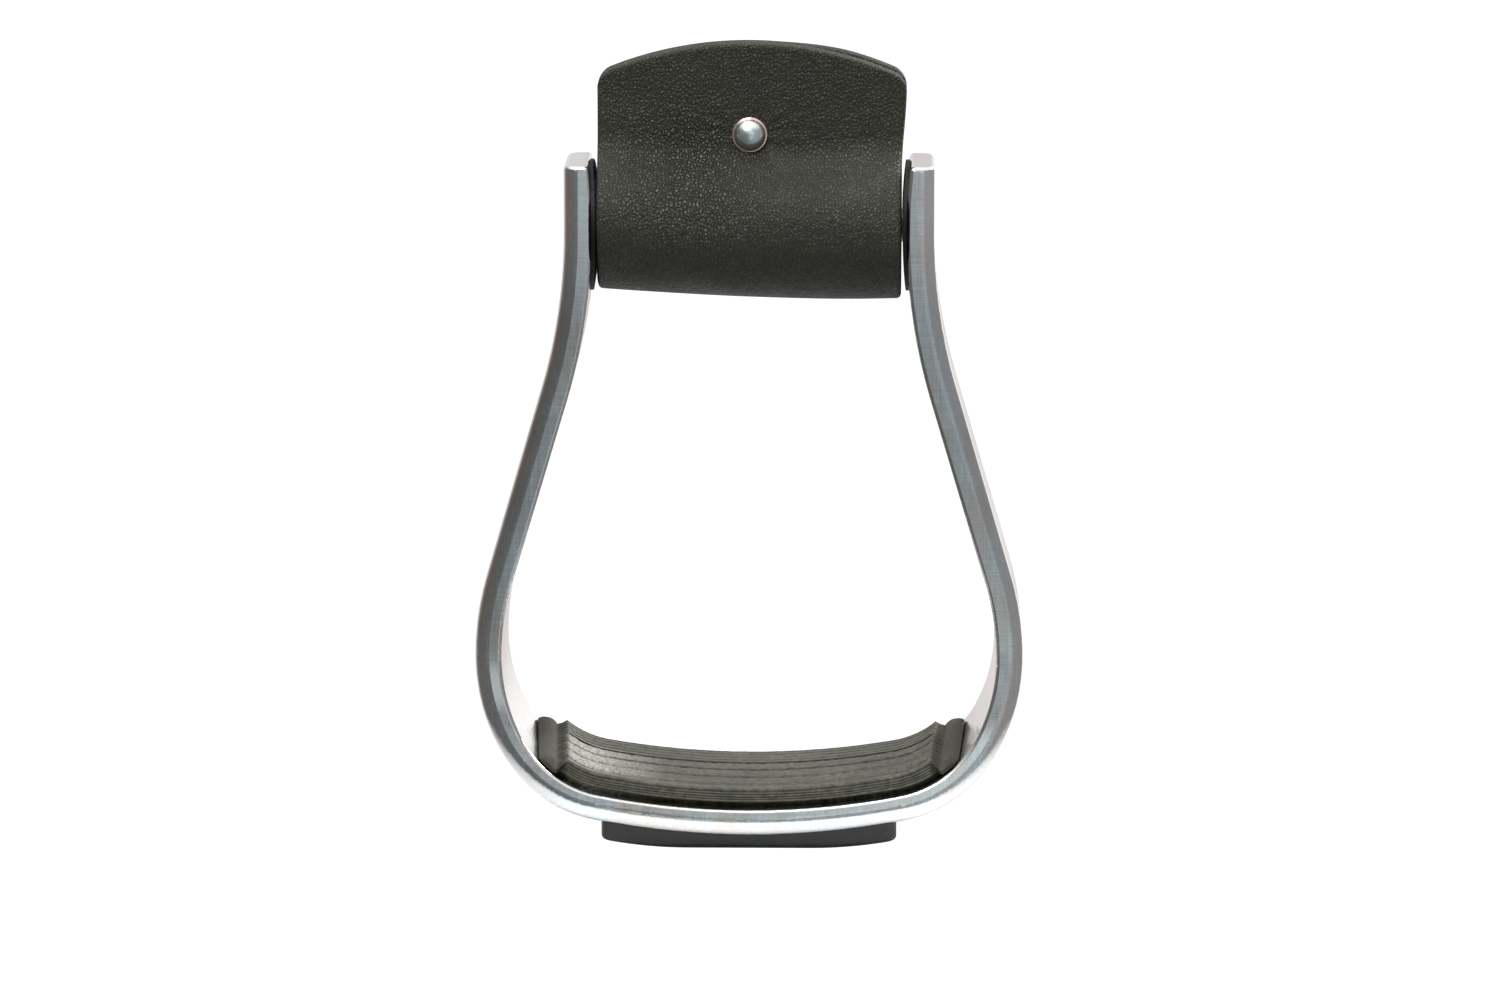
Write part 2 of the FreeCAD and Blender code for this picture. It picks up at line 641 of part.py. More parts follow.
def build_wrap():
    """One strap of leather folded round the roller, its two flaps riveted together above it."""
    body = new_body("leather_wrap")
    profile = new_sketch(body, "profile", "YZ_Plane")
    wrap_outline(profile)
    half = pad_both_ways(body, "rear_half", profile, "dims.wrap_width")
    mirror_across(body, "folded_strap", half, "XZ_Plane")
    arch = new_sketch(body, "arch", "XZ_Plane")
    arch_outline(arch)
    right = cut(body, "right_arch", arch, both_ways=True)
    mirror_across(body, "left_arch", right, "YZ_Plane")
    round_edges(body, "corners", "dims.wrap_corner", upper_corner)
    hole = new_sketch(body, "rivet_circle", "XZ_Plane")
    add_circle(hole, "dims.rivet_post_dia / 2", "0", "dims.rivet_rise")
    cut(body, "rivet_hole", hole, both_ways=True)
    raise_to(body, BOLT_HEIGHT)


def dome_radius(dome):
    """Radius of the ball that a cap of that height is part of, as a formula."""
    return f"(({CAP_RADIUS}) ^ 2 + ({dome}) ^ 2) / (2 * ({dome}))"


CAP_RADIUS = "dims.rivet_dia / 2"
FLAP_FACE = "dims.flap_gap / 2 + dims.leather"
POST_TIP = f"{FLAP_FACE} + dims.rivet_rim"


def build_rivet_half(label, front, dome, post):
    """A rivet cap on one flap, turned about the rivet's axis, with its post or the socket for it."""
    body = new_body(label)
    profile = new_sketch(body, "profile", "YZ_Plane")
    side = -1 if front else 1
    radius = value("dims.rivet_dia") / 2
    high = value(dome)
    ball = value(dome_radius(dome))
    rim = side * value(POST_TIP)
    crown = rim + side * high
    centre = (crown - side * ball, 0.0)
    sweep = math.asin(radius / ball)
    if front:
        curve = add_arc(profile, centre, ball, math.pi - sweep, math.pi)
    else:
        curve = add_arc(profile, centre, ball, 0.0, sweep)
    at_axis, at_rim = (END, START) if front else (START, END)
    post_radius = value("dims.rivet_post_dia") / 2
    if post:
        stop = f"-1 * {side} * ({POST_TIP})"
        corners = [(value(stop), 0.0), (value(stop), post_radius),
                   (side * value(FLAP_FACE), post_radius)]
        formulas = [(stop, "0"), (stop, "dims.rivet_post_dia / 2"),
                    (f"{side} * ({FLAP_FACE})", "dims.rivet_post_dia / 2")]
    else:
        corners = [(rim, 0.0), (rim, post_radius), (side * value(FLAP_FACE), post_radius)]
        formulas = [(f"{side} * ({POST_TIP})", "0"),
                    (f"{side} * ({POST_TIP})", "dims.rivet_post_dia / 2"),
                    (f"{side} * ({FLAP_FACE})", "dims.rivet_post_dia / 2")]
    corners += [(side * value(FLAP_FACE), radius), (rim, radius)]
    formulas += [(f"{side} * ({FLAP_FACE})", CAP_RADIUS), (f"{side} * ({POST_TIP})", CAP_RADIUS)]
    lines = [add_line(profile, first, second) for first, second in zip(corners, corners[1:])]
    axis_line = add_line(profile, (crown, 0.0), corners[0])
    for line, (across, up) in zip(lines, formulas):
        place_point(profile, line, START, across, up)
    place_point(profile, lines[-1], END, *formulas[-1])
    for first, second in zip(lines, lines[1:]):
        fix(profile, "Coincident", first, END, second, START)
    fix(profile, "Coincident", lines[-1], END, curve, at_rim)
    fix(profile, "Coincident", curve, at_axis, axis_line, START)
    fix(profile, "Coincident", axis_line, END, lines[0], START)
    fix(profile, "PointOnObject", curve, CENTRE, X_AXIS)
    place_point(profile, axis_line, START, f"{side} * ({POST_TIP} + {dome})", "0")
    revolve(body, "turned", profile, "H_Axis")
    raise_to(body, f"{BOLT_HEIGHT} + dims.rivet_rise")


# ---- the tread ---------------------------------------------------------------------------------

PAD_END = "dims.pad_length / 2"
PAD_TOP = "dims.wall + dims.pad_thick"


def pad_outline(sketch):
    """Right half of the rubber pad, which lies on the inside of the bow's tread and corner."""
    tread, heel, flank, _, _ = bow_centres()
    wall, top = value("dims.wall"), value(PAD_TOP)
    radii = [value(f"dims.{name}_radius") - wall for name in ("tread", "heel", "flank")]
    thick = value("dims.pad_thick")
    turn, flank_start = direction(tread, heel), direction(flank, heel)
    tip = -math.acos((value(PAD_END) - heel[0]) / radii[1])
    down = -math.pi / 2

    under = add_arc(sketch, tread, radii[0], down, turn)
    bend = add_arc(sketch, heel, radii[1], turn, tip)
    rest = add_arc(sketch, heel, radii[1], tip, flank_start)
    flank_arc = add_arc(sketch, flank, radii[2], flank_start, 0.0)
    over = add_arc(sketch, tread, radii[0] - thick, down, turn)
    over_bend = add_arc(sketch, heel, radii[1] - thick, turn, tip)
    end = add_line(sketch, point_at(heel, radii[1], tip), point_at(heel, radii[1] - thick, tip))
    middle = add_line(sketch, (0.0, top), (0.0, wall))
    for arc in (rest, flank_arc):
        sketch.setConstruction(arc, True)

    place_point(sketch, under, START, "0", "dims.wall")
    fix(sketch, "PointOnObject", under, CENTRE, Y_AXIS)
    for arc, name in ((under, "tread"), (bend, "heel"), (flank_arc, "flank")):
        size(sketch, f"dims.{name}_radius - dims.wall", "Radius", arc)
    fix(sketch, "Tangent", under, END, bend, START)
    fix(sketch, "Coincident", bend, END, rest, START)
    fix(sketch, "Coincident", bend, CENTRE, rest, CENTRE)
    fix(sketch, "Tangent", rest, END, flank_arc, START)
    place_point(sketch, flank_arc, END, f"{HALF_BOW} - dims.wall", "dims.wide_height")
    fix(sketch, "Horizontal", flank_arc, CENTRE, flank_arc, END)
    size(sketch, PAD_END, "DistanceX", ORIGIN, START, bend, END)
    fix(sketch, "Coincident", over, CENTRE, under, CENTRE)
    fix(sketch, "Coincident", over_bend, CENTRE, bend, CENTRE)
    place_point(sketch, over, START, "0", PAD_TOP)
    fix(sketch, "Tangent", over, END, over_bend, START)
    fix(sketch, "Coincident", end, START, bend, END)
    fix(sketch, "Coincident", end, END, over_bend, END)
    fix(sketch, "PointOnObject", bend, CENTRE, end)
    fix(sketch, "Coincident", middle, START, over, START)
    fix(sketch, "Coincident", middle, END, under, START)


def pad_corner(shape, edge):
    """True for an edge through the rubber pad at one of its corners."""
    middle, normals = faces_beside(shape, edge)
    at_an_end = any(normal.z > 0.5 and normal.x * middle.x > 0 and abs(normal.y) < 0.1
                    for normal in normals)
    return at_an_end and any(abs(normal.y) > 0.8 for normal in normals)


def pad_edge(shape, edge):
    """True for an edge round the top of the rubber pad."""
    middle, normals = faces_beside(shape, edge)
    inward = FreeCAD.Vector(-middle.x, 0, value("dims.wide_height") - middle.z).normalize()
    facing = [normal.dot(inward) for normal in normals]
    return max(facing) > 0.7 and min(facing) < 0.4


def build_pad():
    """Rubber pad on the tread, with blind seats for its four inserts."""
    body = new_body("tread_pad")
    outline = new_sketch(body, "outline", "XZ_Plane")
    pad_outline(outline)
    half = pad_both_ways(body, "half_pad", outline, "dims.pad_depth")
    mirror_across(body, "whole_pad", half, "YZ_Plane")
    waste = new_sketch(body, "waste", "YZ_Plane")
    taper_outline(waste, "dims.pad_inset")
    rear_taper = cut(body, "rear_taper", waste, both_ways=True)
    mirror_across(body, "front_taper", rear_taper, "XZ_Plane")
    round_edges(body, "corners", "dims.pad_corner", pad_corner)
    round_edges(body, "upper_edges", "dims.pad_round", pad_edge)
    drill_for_screws(body, "insert_seats", "dims.insert_dia / 2", "dims.insert_high")
    raise_to(body, "dims.keeper_drop")


def keeper_outline(sketch):
    """Right half of the keeper plate: its top fits the tread, its underside turns up at the end."""
    half, flat = value("dims.keeper_length / 2"), value("dims.keeper_flat / 2")
    drop, radius = value("dims.keeper_drop"), value("dims.keeper_radius")
    tread = value("dims.tread_radius")
    turn_centre = (flat, radius - drop)
    low_end = -math.acos((half - flat) / radius)
    high_end = -math.acos(half / tread)
    down = -math.pi / 2

    flat_line = add_line(sketch, (0.0, -drop), (flat, -drop))
    upturn = add_arc(sketch, turn_centre, radius, down, low_end)
    end = add_line(sketch, point_at(turn_centre, radius, low_end), point_at((0, tread), tread, high_end))
    over = add_arc(sketch, (0, tread), tread, down, high_end)
    middle = add_line(sketch, (0.0, 0.0), (0.0, -drop))
    place_point(sketch, flat_line, START, "0", "-dims.keeper_drop")
    place_point(sketch, flat_line, END, "dims.keeper_flat / 2", None)
    fix(sketch, "Tangent", flat_line, END, upturn, START)
    fix(sketch, "Coincident", upturn, END, end, START)
    fix(sketch, "Coincident", end, END, over, END)
    fix(sketch, "Coincident", over, START, middle, START)
    fix(sketch, "Coincident", middle, END, flat_line, START)
    fix(sketch, "Coincident", over, START, ORIGIN, START)
    fix(sketch, "PointOnObject", over, CENTRE, Y_AXIS)
    fix(sketch, "Horizontal", flat_line)
    fix(sketch, "Vertical", end)
    size(sketch, "dims.keeper_radius", "Radius", upturn)
    size(sketch, "dims.tread_radius", "Radius", over)
    size(sketch, "dims.keeper_length / 2", "DistanceX", ORIGIN, START, end, START)


def upright_corner(shape, edge):
    """True for an upright corner edge of the keeper plate."""
    box = edge.BoundBox
    return box.XLength < 0.01 and box.YLength < 0.01


def lower_edge(shape, edge):
    """True for an edge round the underside of the keeper plate."""
    middle, normals = faces_beside(shape, edge)
    return (any(normal.z < -0.9 for normal in normals)
            and any(abs(normal.z) < 0.1 for normal in normals))


def build_keeper():
    """Plate under the tread that the pad is screwed to, with recesses for the screw heads."""
    body = new_body("keeper_plate")
    outline = new_sketch(body, "outline", "XZ_Plane")
    keeper_outline(outline)
    half = pad_both_ways(body, "half_plate", outline, "dims.keeper_depth")
    mirror_across(body, "whole_plate", half, "YZ_Plane")
    round_edges(body, "corners", "dims.keeper_corner", upright_corner)
    round_edges(body, "lower_edges", "dims.keeper_round", lower_edge)
    for name, radius, start, length in (
            ("head_recesses", "dims.seat_dia / 2", "-dims.keeper_drop",
             "dims.keeper_drop - dims.screw_seat"),
            ("screw_holes", SCREW_HOLE, "-dims.keeper_drop", "2 * dims.keeper_drop")):
        sketch = new_sketch(body, f"{name}_circles", "XY_Plane")
        bind(sketch, "AttachmentOffset.Base.z", start)
        for _, across, along in screw_places():
            add_circle(sketch, radius, across, along)
        cut(body, name, sketch, length, reverse=True)
    raise_to(body, "dims.keeper_drop")


def build_tread_fasteners():
    """Four socket screws from below, and the threaded brass inserts that they hold in the pad."""
    for suffix, across, along in screw_places():
        screw = new_body(f"tread_screw_{suffix}")
        profile = new_sketch(screw, "profile", "XZ_Plane")
        shank, head = "dims.screw_dia / 2", "dims.screw_head_dia / 2"
        seat, tip = "-dims.screw_seat", "dims.insert_high - dims.insert_groove"
        low = f"{seat} - dims.screw_head_high"
        add_polygon(profile, [("0", low), (head, low), (head, seat), (shank, seat),
                              (shank, tip), ("0", tip)])
        revolve(screw, "turned", profile, "V_Axis")
        socket = new_sketch(screw, "socket_outline", "XY_Plane")
        bind(socket, "AttachmentOffset.Base.z", low)
        add_hexagon(socket, "dims.screw_hex")
        cut(screw, "socket", socket, "dims.screw_hex_depth", reverse=True)

        insert = new_body(f"pad_insert_{suffix}")
        profile = new_sketch(insert, "profile", "XZ_Plane")
        bore, outside = "dims.screw_dia / 2", "dims.insert_dia / 2"
        waist = f"{outside} - dims.insert_groove"
        low, high = "dims.insert_low", "dims.insert_high"
        third = f"({high} - {low}) / 3"
        add_polygon(profile, [(bore, low), (outside, low), (outside, f"{low} + {third}"),
                              (waist, f"{low} + {third}"), (waist, f"{high} - {third}"),
                              (outside, f"{high} - {third}"), (outside, high), (bore, high)])
        revolve(insert, "turned", profile, "V_Axis")
        for piece in (screw, insert):
            bind(piece, "Placement.Base.x", across)
            bind(piece, "Placement.Base.y", along)
            raise_to(piece, "dims.keeper_drop")


# ---- the whole stirrup -------------------------------------------------------------------------


def check_document():
    """Stops on a failed object or a bad shape, before anything is written."""
    for item in doc.Objects:
        if "Invalid" in item.State or "Error" in item.State:
            raise RuntimeError(f"{item.Label} did not recompute: {item.State}")
    for node in nodes:
        shape = node.Shape
        if shape.isNull() or not shape.isValid() or len(shape.Solids) != 1:
            raise RuntimeError(f"{node.Label} has a bad shape")


def export_parts():
    os.makedirs("parts", exist_ok=True)
    for node in nodes:
        node.Shape.exportStep(f"parts/{node.Label}.step")


build_bow()
build_bolt()
build_ear_washers()
build_roller()
build_wrap()
build_rivet_half("rivet_cap", True, "dims.rivet_dome", post=False)
build_rivet_half("rivet_post", False, "dims.rivet_rear_dome", post=True)
build_pad()
build_keeper()
build_tread_fasteners()
doc.recompute()
check_document()
export_parts()
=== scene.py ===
import json
import math

import bmesh
import bpy
import numpy as np
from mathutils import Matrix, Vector, noise


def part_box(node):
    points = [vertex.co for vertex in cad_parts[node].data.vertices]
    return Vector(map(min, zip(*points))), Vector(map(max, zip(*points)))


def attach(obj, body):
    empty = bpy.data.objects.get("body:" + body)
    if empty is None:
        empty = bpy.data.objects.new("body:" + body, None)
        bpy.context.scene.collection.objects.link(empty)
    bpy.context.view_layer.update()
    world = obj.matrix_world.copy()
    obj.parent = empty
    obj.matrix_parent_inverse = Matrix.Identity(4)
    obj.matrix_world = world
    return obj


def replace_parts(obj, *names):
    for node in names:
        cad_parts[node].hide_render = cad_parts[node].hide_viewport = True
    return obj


# The looks of a Western stirrup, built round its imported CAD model. Metres throughout, +X along the
# bolt, +Y from front to back, +Z up, with the stirrup standing on Z = 0.

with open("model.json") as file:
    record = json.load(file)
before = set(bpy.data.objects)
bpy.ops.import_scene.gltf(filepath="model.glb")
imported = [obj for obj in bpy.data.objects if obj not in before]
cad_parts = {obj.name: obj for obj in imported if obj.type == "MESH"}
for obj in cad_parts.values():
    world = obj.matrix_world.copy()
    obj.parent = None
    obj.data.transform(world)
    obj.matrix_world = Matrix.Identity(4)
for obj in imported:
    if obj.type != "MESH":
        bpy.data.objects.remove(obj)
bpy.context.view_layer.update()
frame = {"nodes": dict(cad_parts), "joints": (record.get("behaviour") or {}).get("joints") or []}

MM = 0.001

BOLT_Z = frame["joints"][0]["pos_m"][2]
WRAP_LOW, WRAP_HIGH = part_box("leather_wrap")
RIVET_LOW, RIVET_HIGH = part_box("rivet_cap")
POST_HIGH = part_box("rivet_post")[1]
PAD_LOW, PAD_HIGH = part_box("tread_pad")

RIVET_AXIS = ((RIVET_LOW.x + RIVET_HIGH.x) / 2, 0.0, (RIVET_LOW.z + RIVET_HIGH.z) / 2)

# Thickness of the leather, and the radius of the middle of its loop round the roller.
HIDE = 3.2 * MM
LOOP_MIDDLE = WRAP_HIGH.y - HIDE / 2

# Where the leather is worn shiny and has a highlight painted on it: left of the middle, just above the
# roller, at the front.
SHINY_SPOT = (-14 * MM, 0.6 * WRAP_LOW.y, BOLT_Z + 13.5 * MM)
SHINY_REACH = 21.5 * MM

# The wide ribs along the middle of the tread, how far out along X they run at the back, and how much
# less far they run at the front.
WIDE_RIBS = 3
WIDE_PITCH = 8.0 * MM
WIDE_GROOVE = 1.9 * MM
MIDDLE_FROM = -17.5 * MM
MIDDLE_TO = MIDDLE_FROM + WIDE_RIBS * WIDE_PITCH
RIBS_TO = 45.8 * MM
RIBS_SLANT = 2.0 * MM


# ---- meshes ------------------------------------------------------------------------------------


def new_piece(name, vertices, faces, material):
    """A smooth-shaded mesh with its faces turned outwards."""
    mesh = bpy.data.meshes.new(name)
    mesh.from_pydata([tuple(v) for v in vertices], [], faces)
    mesh.validate()
    mesh.update()
    mesh.materials.append(material)
    mesh.shade_smooth()
    closed = bmesh.new()
    closed.from_mesh(mesh)
    bmesh.ops.recalc_face_normals(closed, faces=closed.faces)
    closed.to_mesh(mesh)
    closed.free()
    piece = bpy.data.objects.new(name, mesh)
    bpy.context.scene.collection.objects.link(piece)
    return piece


def quads(rows, columns, closed_columns=False):
    """Faces of a grid whose vertices run along the columns of each row in turn."""
    faces = []
    for i in range(rows - 1):
        for j in range(columns if closed_columns else columns - 1):
            here, next_row = i * columns, (i + 1) * columns
            k = (j + 1) % columns
            faces.append((here + j, here + k, next_row + k, next_row + j))
    return faces


def smoothstep(value, low, high):
    """A smooth rise from 0 at low to 1 at high."""
    share = np.clip((value - low) / (high - low), 0.0, 1.0)
    return share * share * (3 - 2 * share)


def corner_cut(radius, inward):
    """How much a rounded corner takes off, from 0 where it starts to its radius at its end."""
    inward = np.clip(inward, 0.0, radius)
    return radius - np.sqrt(np.maximum(radius ** 2 - inward ** 2, 0.0))


def noise_at(points):
    """Smooth noise between -1 and 1 at every point of an array whose last axis is (x, y, z)."""
    values = [noise.noise(Vector(point)) for point in points.reshape(-1, 3)]
    return np.array(values).reshape(points.shape[:-1])


# ---- materials ---------------------------------------------------------------------------------


class Nodes:
    """Short calls for the nodes that a tree is made of."""

    def __init__(self, tree):
        self.tree = tree

    def link(self, source, target):
        self.tree.links.new(source, target)

    def node(self, kind, inputs=None, **settings):
        made = self.tree.nodes.new(kind)
        for key, setting in settings.items():
            setattr(made, key, setting)
        for key, source in (inputs or {}).items():
            if isinstance(source, bpy.types.NodeSocket):
                self.link(source, made.inputs[key])
            else:
                made.inputs[key].default_value = source
        return made

    def ramp(self, source, low, high, first=0.0, last=1.0, clamp=True):
        """A straight change from first where the source is low to last where it is high."""
        inputs = {"Value": source, "From Min": low, "From Max": high, "To Min": first, "To Max": last}
        return self.node("ShaderNodeMapRange", inputs, clamp=clamp).outputs["Result"]

    def colours(self, factor, first, second, blend="MIX"):
        """A blend from the first colour, where the factor is 0, to the second, where it is 1."""
        mix = self.node("ShaderNodeMix", data_type="RGBA", blend_type=blend)
        for socket, source in ((0, factor), (6, first), (7, second)):
            if isinstance(source, bpy.types.NodeSocket):
                self.link(source, mix.inputs[socket])
            else:
                mix.inputs[socket].default_value = source if socket == 0 else (*source, 1)
        return mix.outputs[2]

    def maths(self, kind, first, second=0.0):
        return self.node("ShaderNodeMath", {0: first, 1: second}, operation=kind).outputs[0]

    def plus(self, first, second):
        return self.maths("ADD", first, second)

    def times(self, first, second):
        return self.maths("MULTIPLY", first, second)

    def most(self, first, second):
        return self.maths("MAXIMUM", first, second)

    def vectors(self, kind, first, second):
        return self.node("ShaderNodeVectorMath", {0: first, 1: second}, operation=kind).outputs

    def axes(self, vector):
        return self.node("ShaderNodeSeparateXYZ", {0: vector}).outputs


class Material(Nodes):
    """A node material with one shader, bumps that build on each other, and textures in place."""

    def __init__(self, name, **values):
        self.material = bpy.data.materials.new(name)
        self.material.use_nodes = True
        super().__init__(self.material.node_tree)
        self.shader = self.tree.nodes["Principled BSDF"]
        for socket, setting in values.items():
            self.shader.inputs[socket.replace("_", " ")].default_value = setting
        self.place = self.tree.nodes.new("ShaderNodeTexCoord").outputs["Object"]
        self.normal = None

    def stretched(self, scale, vector=None):
        inputs = {"Vector": vector or self.place, "Scale": scale}
        return self.node("ShaderNodeMapping", inputs).outputs["Vector"]

    def noise(self, scale, detail=3.0, roughness=0.55, vector=None):
        inputs = {"Vector": vector or self.place, "Scale": scale, "Detail": detail,
                  "Roughness": roughness}
        return self.node("ShaderNodeTexNoise", inputs).outputs["Fac"]

    def bump(self, height, distance, strength=1.0):
        inputs = {"Height": height, "Distance": distance, "Strength": strength}
        if self.normal:
            inputs["Normal"] = self.normal
        self.normal = self.node("ShaderNodeBump", inputs).outputs["Normal"]
        self.link(self.normal, self.shader.inputs["Normal"])

    def colour(self, socket):
        self.link(socket, self.shader.inputs["Base Color"])

    def roughness(self, socket):
        self.link(socket, self.shader.inputs["Roughness"])


def aluminium():
    """Polished casting: fine sanding marks both ways, faint blue and brown stains, and painted shade that
    darkens the arms and lightens the ears.
    """
    made = Material("cast_aluminium", Metallic=1.0)
    brown_stain = (0.70, 0.675, 0.66)
    blue_stain = (0.70, 0.745, 0.775)
    along = made.noise(1.0, 4.0, vector=made.stretched((2400, 2400, 60)))
    across = made.noise(1.0, 3.0, vector=made.stretched((90, 2000, 2600)))
    marks = made.times(along, across)
    cloud = made.noise(1.0, 3.0, vector=made.stretched((110, 60, 45)))
    tint = made.colours(made.ramp(cloud, 0.38, 0.62), brown_stain, blue_stain)
    # Painted shade and light: the colour is darker up the arms and brighter at the ears and towards the
    # tread, for how the light falls on them.
    height = made.axes(made.place)[2]
    above_tread = made.ramp(height, 45 * MM, 85 * MM, 0.45, 1.0)
    below_ears = made.ramp(height, 132 * MM, 156 * MM, 1.0, 0.0)
    painted_arm_shade = made.times(above_tread, below_ears)
    light = made.times(made.ramp(marks, 0.15, 0.4, 0.90, 1.06), made.ramp(painted_arm_shade, 0, 1, 1.08, 0.80))
    grey = made.node("ShaderNodeCombineColor", {0: light, 1: light, 2: light}).outputs[0]
    made.colour(made.colours(1.0, tint, grey, "MULTIPLY"))
    made.roughness(made.plus(made.ramp(marks, 0.15, 0.4, 0.11, 0.15),
                             made.ramp(cloud, 0.3, 0.7, -0.01, 0.04)))
    made.bump(marks, 0.02 * MM, 0.10)
    made.bump(cloud, 0.5 * MM, 0.10)
    return made.material


def steel(name, tint, rough):
    """A bright metal with fine marks on it."""
    made = Material(name, Metallic=1.0)
    marks = made.noise(900.0, 4.0)
    darker = [channel * 0.82 for channel in tint]
    made.colour(made.colours(made.ramp(marks, 0.3, 0.7), darker, tint))
    made.roughness(made.ramp(marks, 0.3, 0.7, rough, rough + 0.12))
    made.bump(marks, 0.02 * MM, 0.4)
    return made.material


def nickel():
    """Plated brass, with a pink painted reflection towards its rim."""
    made = Material("nickel", Metallic=1.0)
    plating = (0.66, 0.75, 0.76)
    painted_rim_reflection = (0.90, 0.70, 0.64)
    marks = made.noise(900.0, 4.0)
    upright = made.vectors("MULTIPLY", made.place, (1, 0, 1))[0]
    from_axis = made.vectors("DISTANCE", upright, RIVET_AXIS)["Value"]
    # Painted reflection: the rim is tinted pink for the bright floor that it mirrors.
    rim = made.ramp(from_axis, 0.6 * RIVET_HIGH.x, 0.95 * RIVET_HIGH.x)
    made.colour(made.colours(rim, plating, painted_rim_reflection))
    made.roughness(made.ramp(marks, 0.3, 0.7, 0.22, 0.34))
    made.bump(marks, 0.02 * MM, 0.4)
    return made.material


def plastic(name, dark, light, rough, gloss=0.5):
    """A finely pitted surface, slightly cloudy in colour."""
    made = Material(name, Specular_IOR_Level=gloss)
    cloud = made.noise(120.0, 3.0)
    pits = made.noise(1400.0, 4.0)
    made.colour(made.colours(made.ramp(cloud, 0.35, 0.65), dark, light))
    made.roughness(made.ramp(pits, 0.3, 0.7, rough, rough + 0.14))
    made.bump(pits, 0.05 * MM, 0.5)
    return made.material


def leather():
    """Black leather with a broken pebbled grain, smooth and painted darker under the loop, with one patch
    worn shiny and a painted highlight on it.
    """
    made = Material("black_leather", Specular_IOR_Level=0.45)
    between_pebbles = (0.0060, 0.0058, 0.0036)
    on_pebbles = (0.0360, 0.0350, 0.0215)
    painted_sheen = (0.105, 0.102, 0.082)

    wander = made.node("ShaderNodeTexNoise", {"Vector": made.place, "Scale": 480.0, "Detail": 3.0})
    shift = made.node("ShaderNodeVectorMath", {0: wander.outputs["Color"], "Scale": 1.2 * MM},
                      operation="SCALE").outputs["Vector"]
    warped = made.vectors("ADD", made.place, shift)["Vector"]
    pebbles = made.node("ShaderNodeTexVoronoi",
                        {"Vector": made.stretched((1.2, 1, 0.8), warped), "Scale": 1150.0},
                        feature="DISTANCE_TO_EDGE")
    grain = made.ramp(pebbles.outputs["Distance"], 0.0, 0.32)
    fine = made.noise(2600.0, 4.0, 0.65)
    streaks = made.noise(1.0, 4.0, vector=made.stretched((620, 620, 210)))
    broad = made.noise(60.0, 4.0)
    worn = made.ramp(broad, 0.35, 0.7)
    height = made.axes(made.place)[2]
    under = made.ramp(height, BOLT_Z - 0.2 * LOOP_MIDDLE, BOLT_Z - 0.85 * LOOP_MIDDLE)
    from_spot = made.vectors("DISTANCE", made.place, SHINY_SPOT)["Value"]
    shiny = made.ramp(from_spot, SHINY_REACH, 0.2 * SHINY_REACH)

    shade = made.times(made.ramp(grain, 0, 1, 0.30, 1.0), made.ramp(worn, 0, 1, 0.60, 0.95))
    # Painted shade: the colour darkens under the loop, where it curves down away from the light.
    shade = made.times(shade, made.ramp(under, 0, 1, 1.0, 0.40))
    tint = made.colours(shade, between_pebbles, on_pebbles)
    # Painted highlight: in the shiny patch the pebble tops are lifted towards a light colour, for the
    # sheen of the light on them.
    painted_sheen_mask = made.times(shiny, made.ramp(grain, 0.2, 1.0, 0.0, 0.6))
    made.colour(made.colours(painted_sheen_mask, tint, painted_sheen))
    rough = made.plus(made.ramp(grain, 0, 1, 0.66, 0.46), made.ramp(worn, 0, 1, 0.06, -0.04))
    made.roughness(made.plus(rough, made.ramp(shiny, 0, 1, 0.0, -0.10)))
    made.bump(broad, 1.0 * MM, 0.30)
    made.bump(streaks, 0.55 * MM, 0.75)
    made.bump(fine, 0.10 * MM, 0.6)
    rising = made.times(made.ramp(under, 0, 1, 1.0, 0.35), made.ramp(shiny, 0, 1, 0.50, 1.0))
    made.bump(grain, 0.45 * MM, rising)
    return made.material


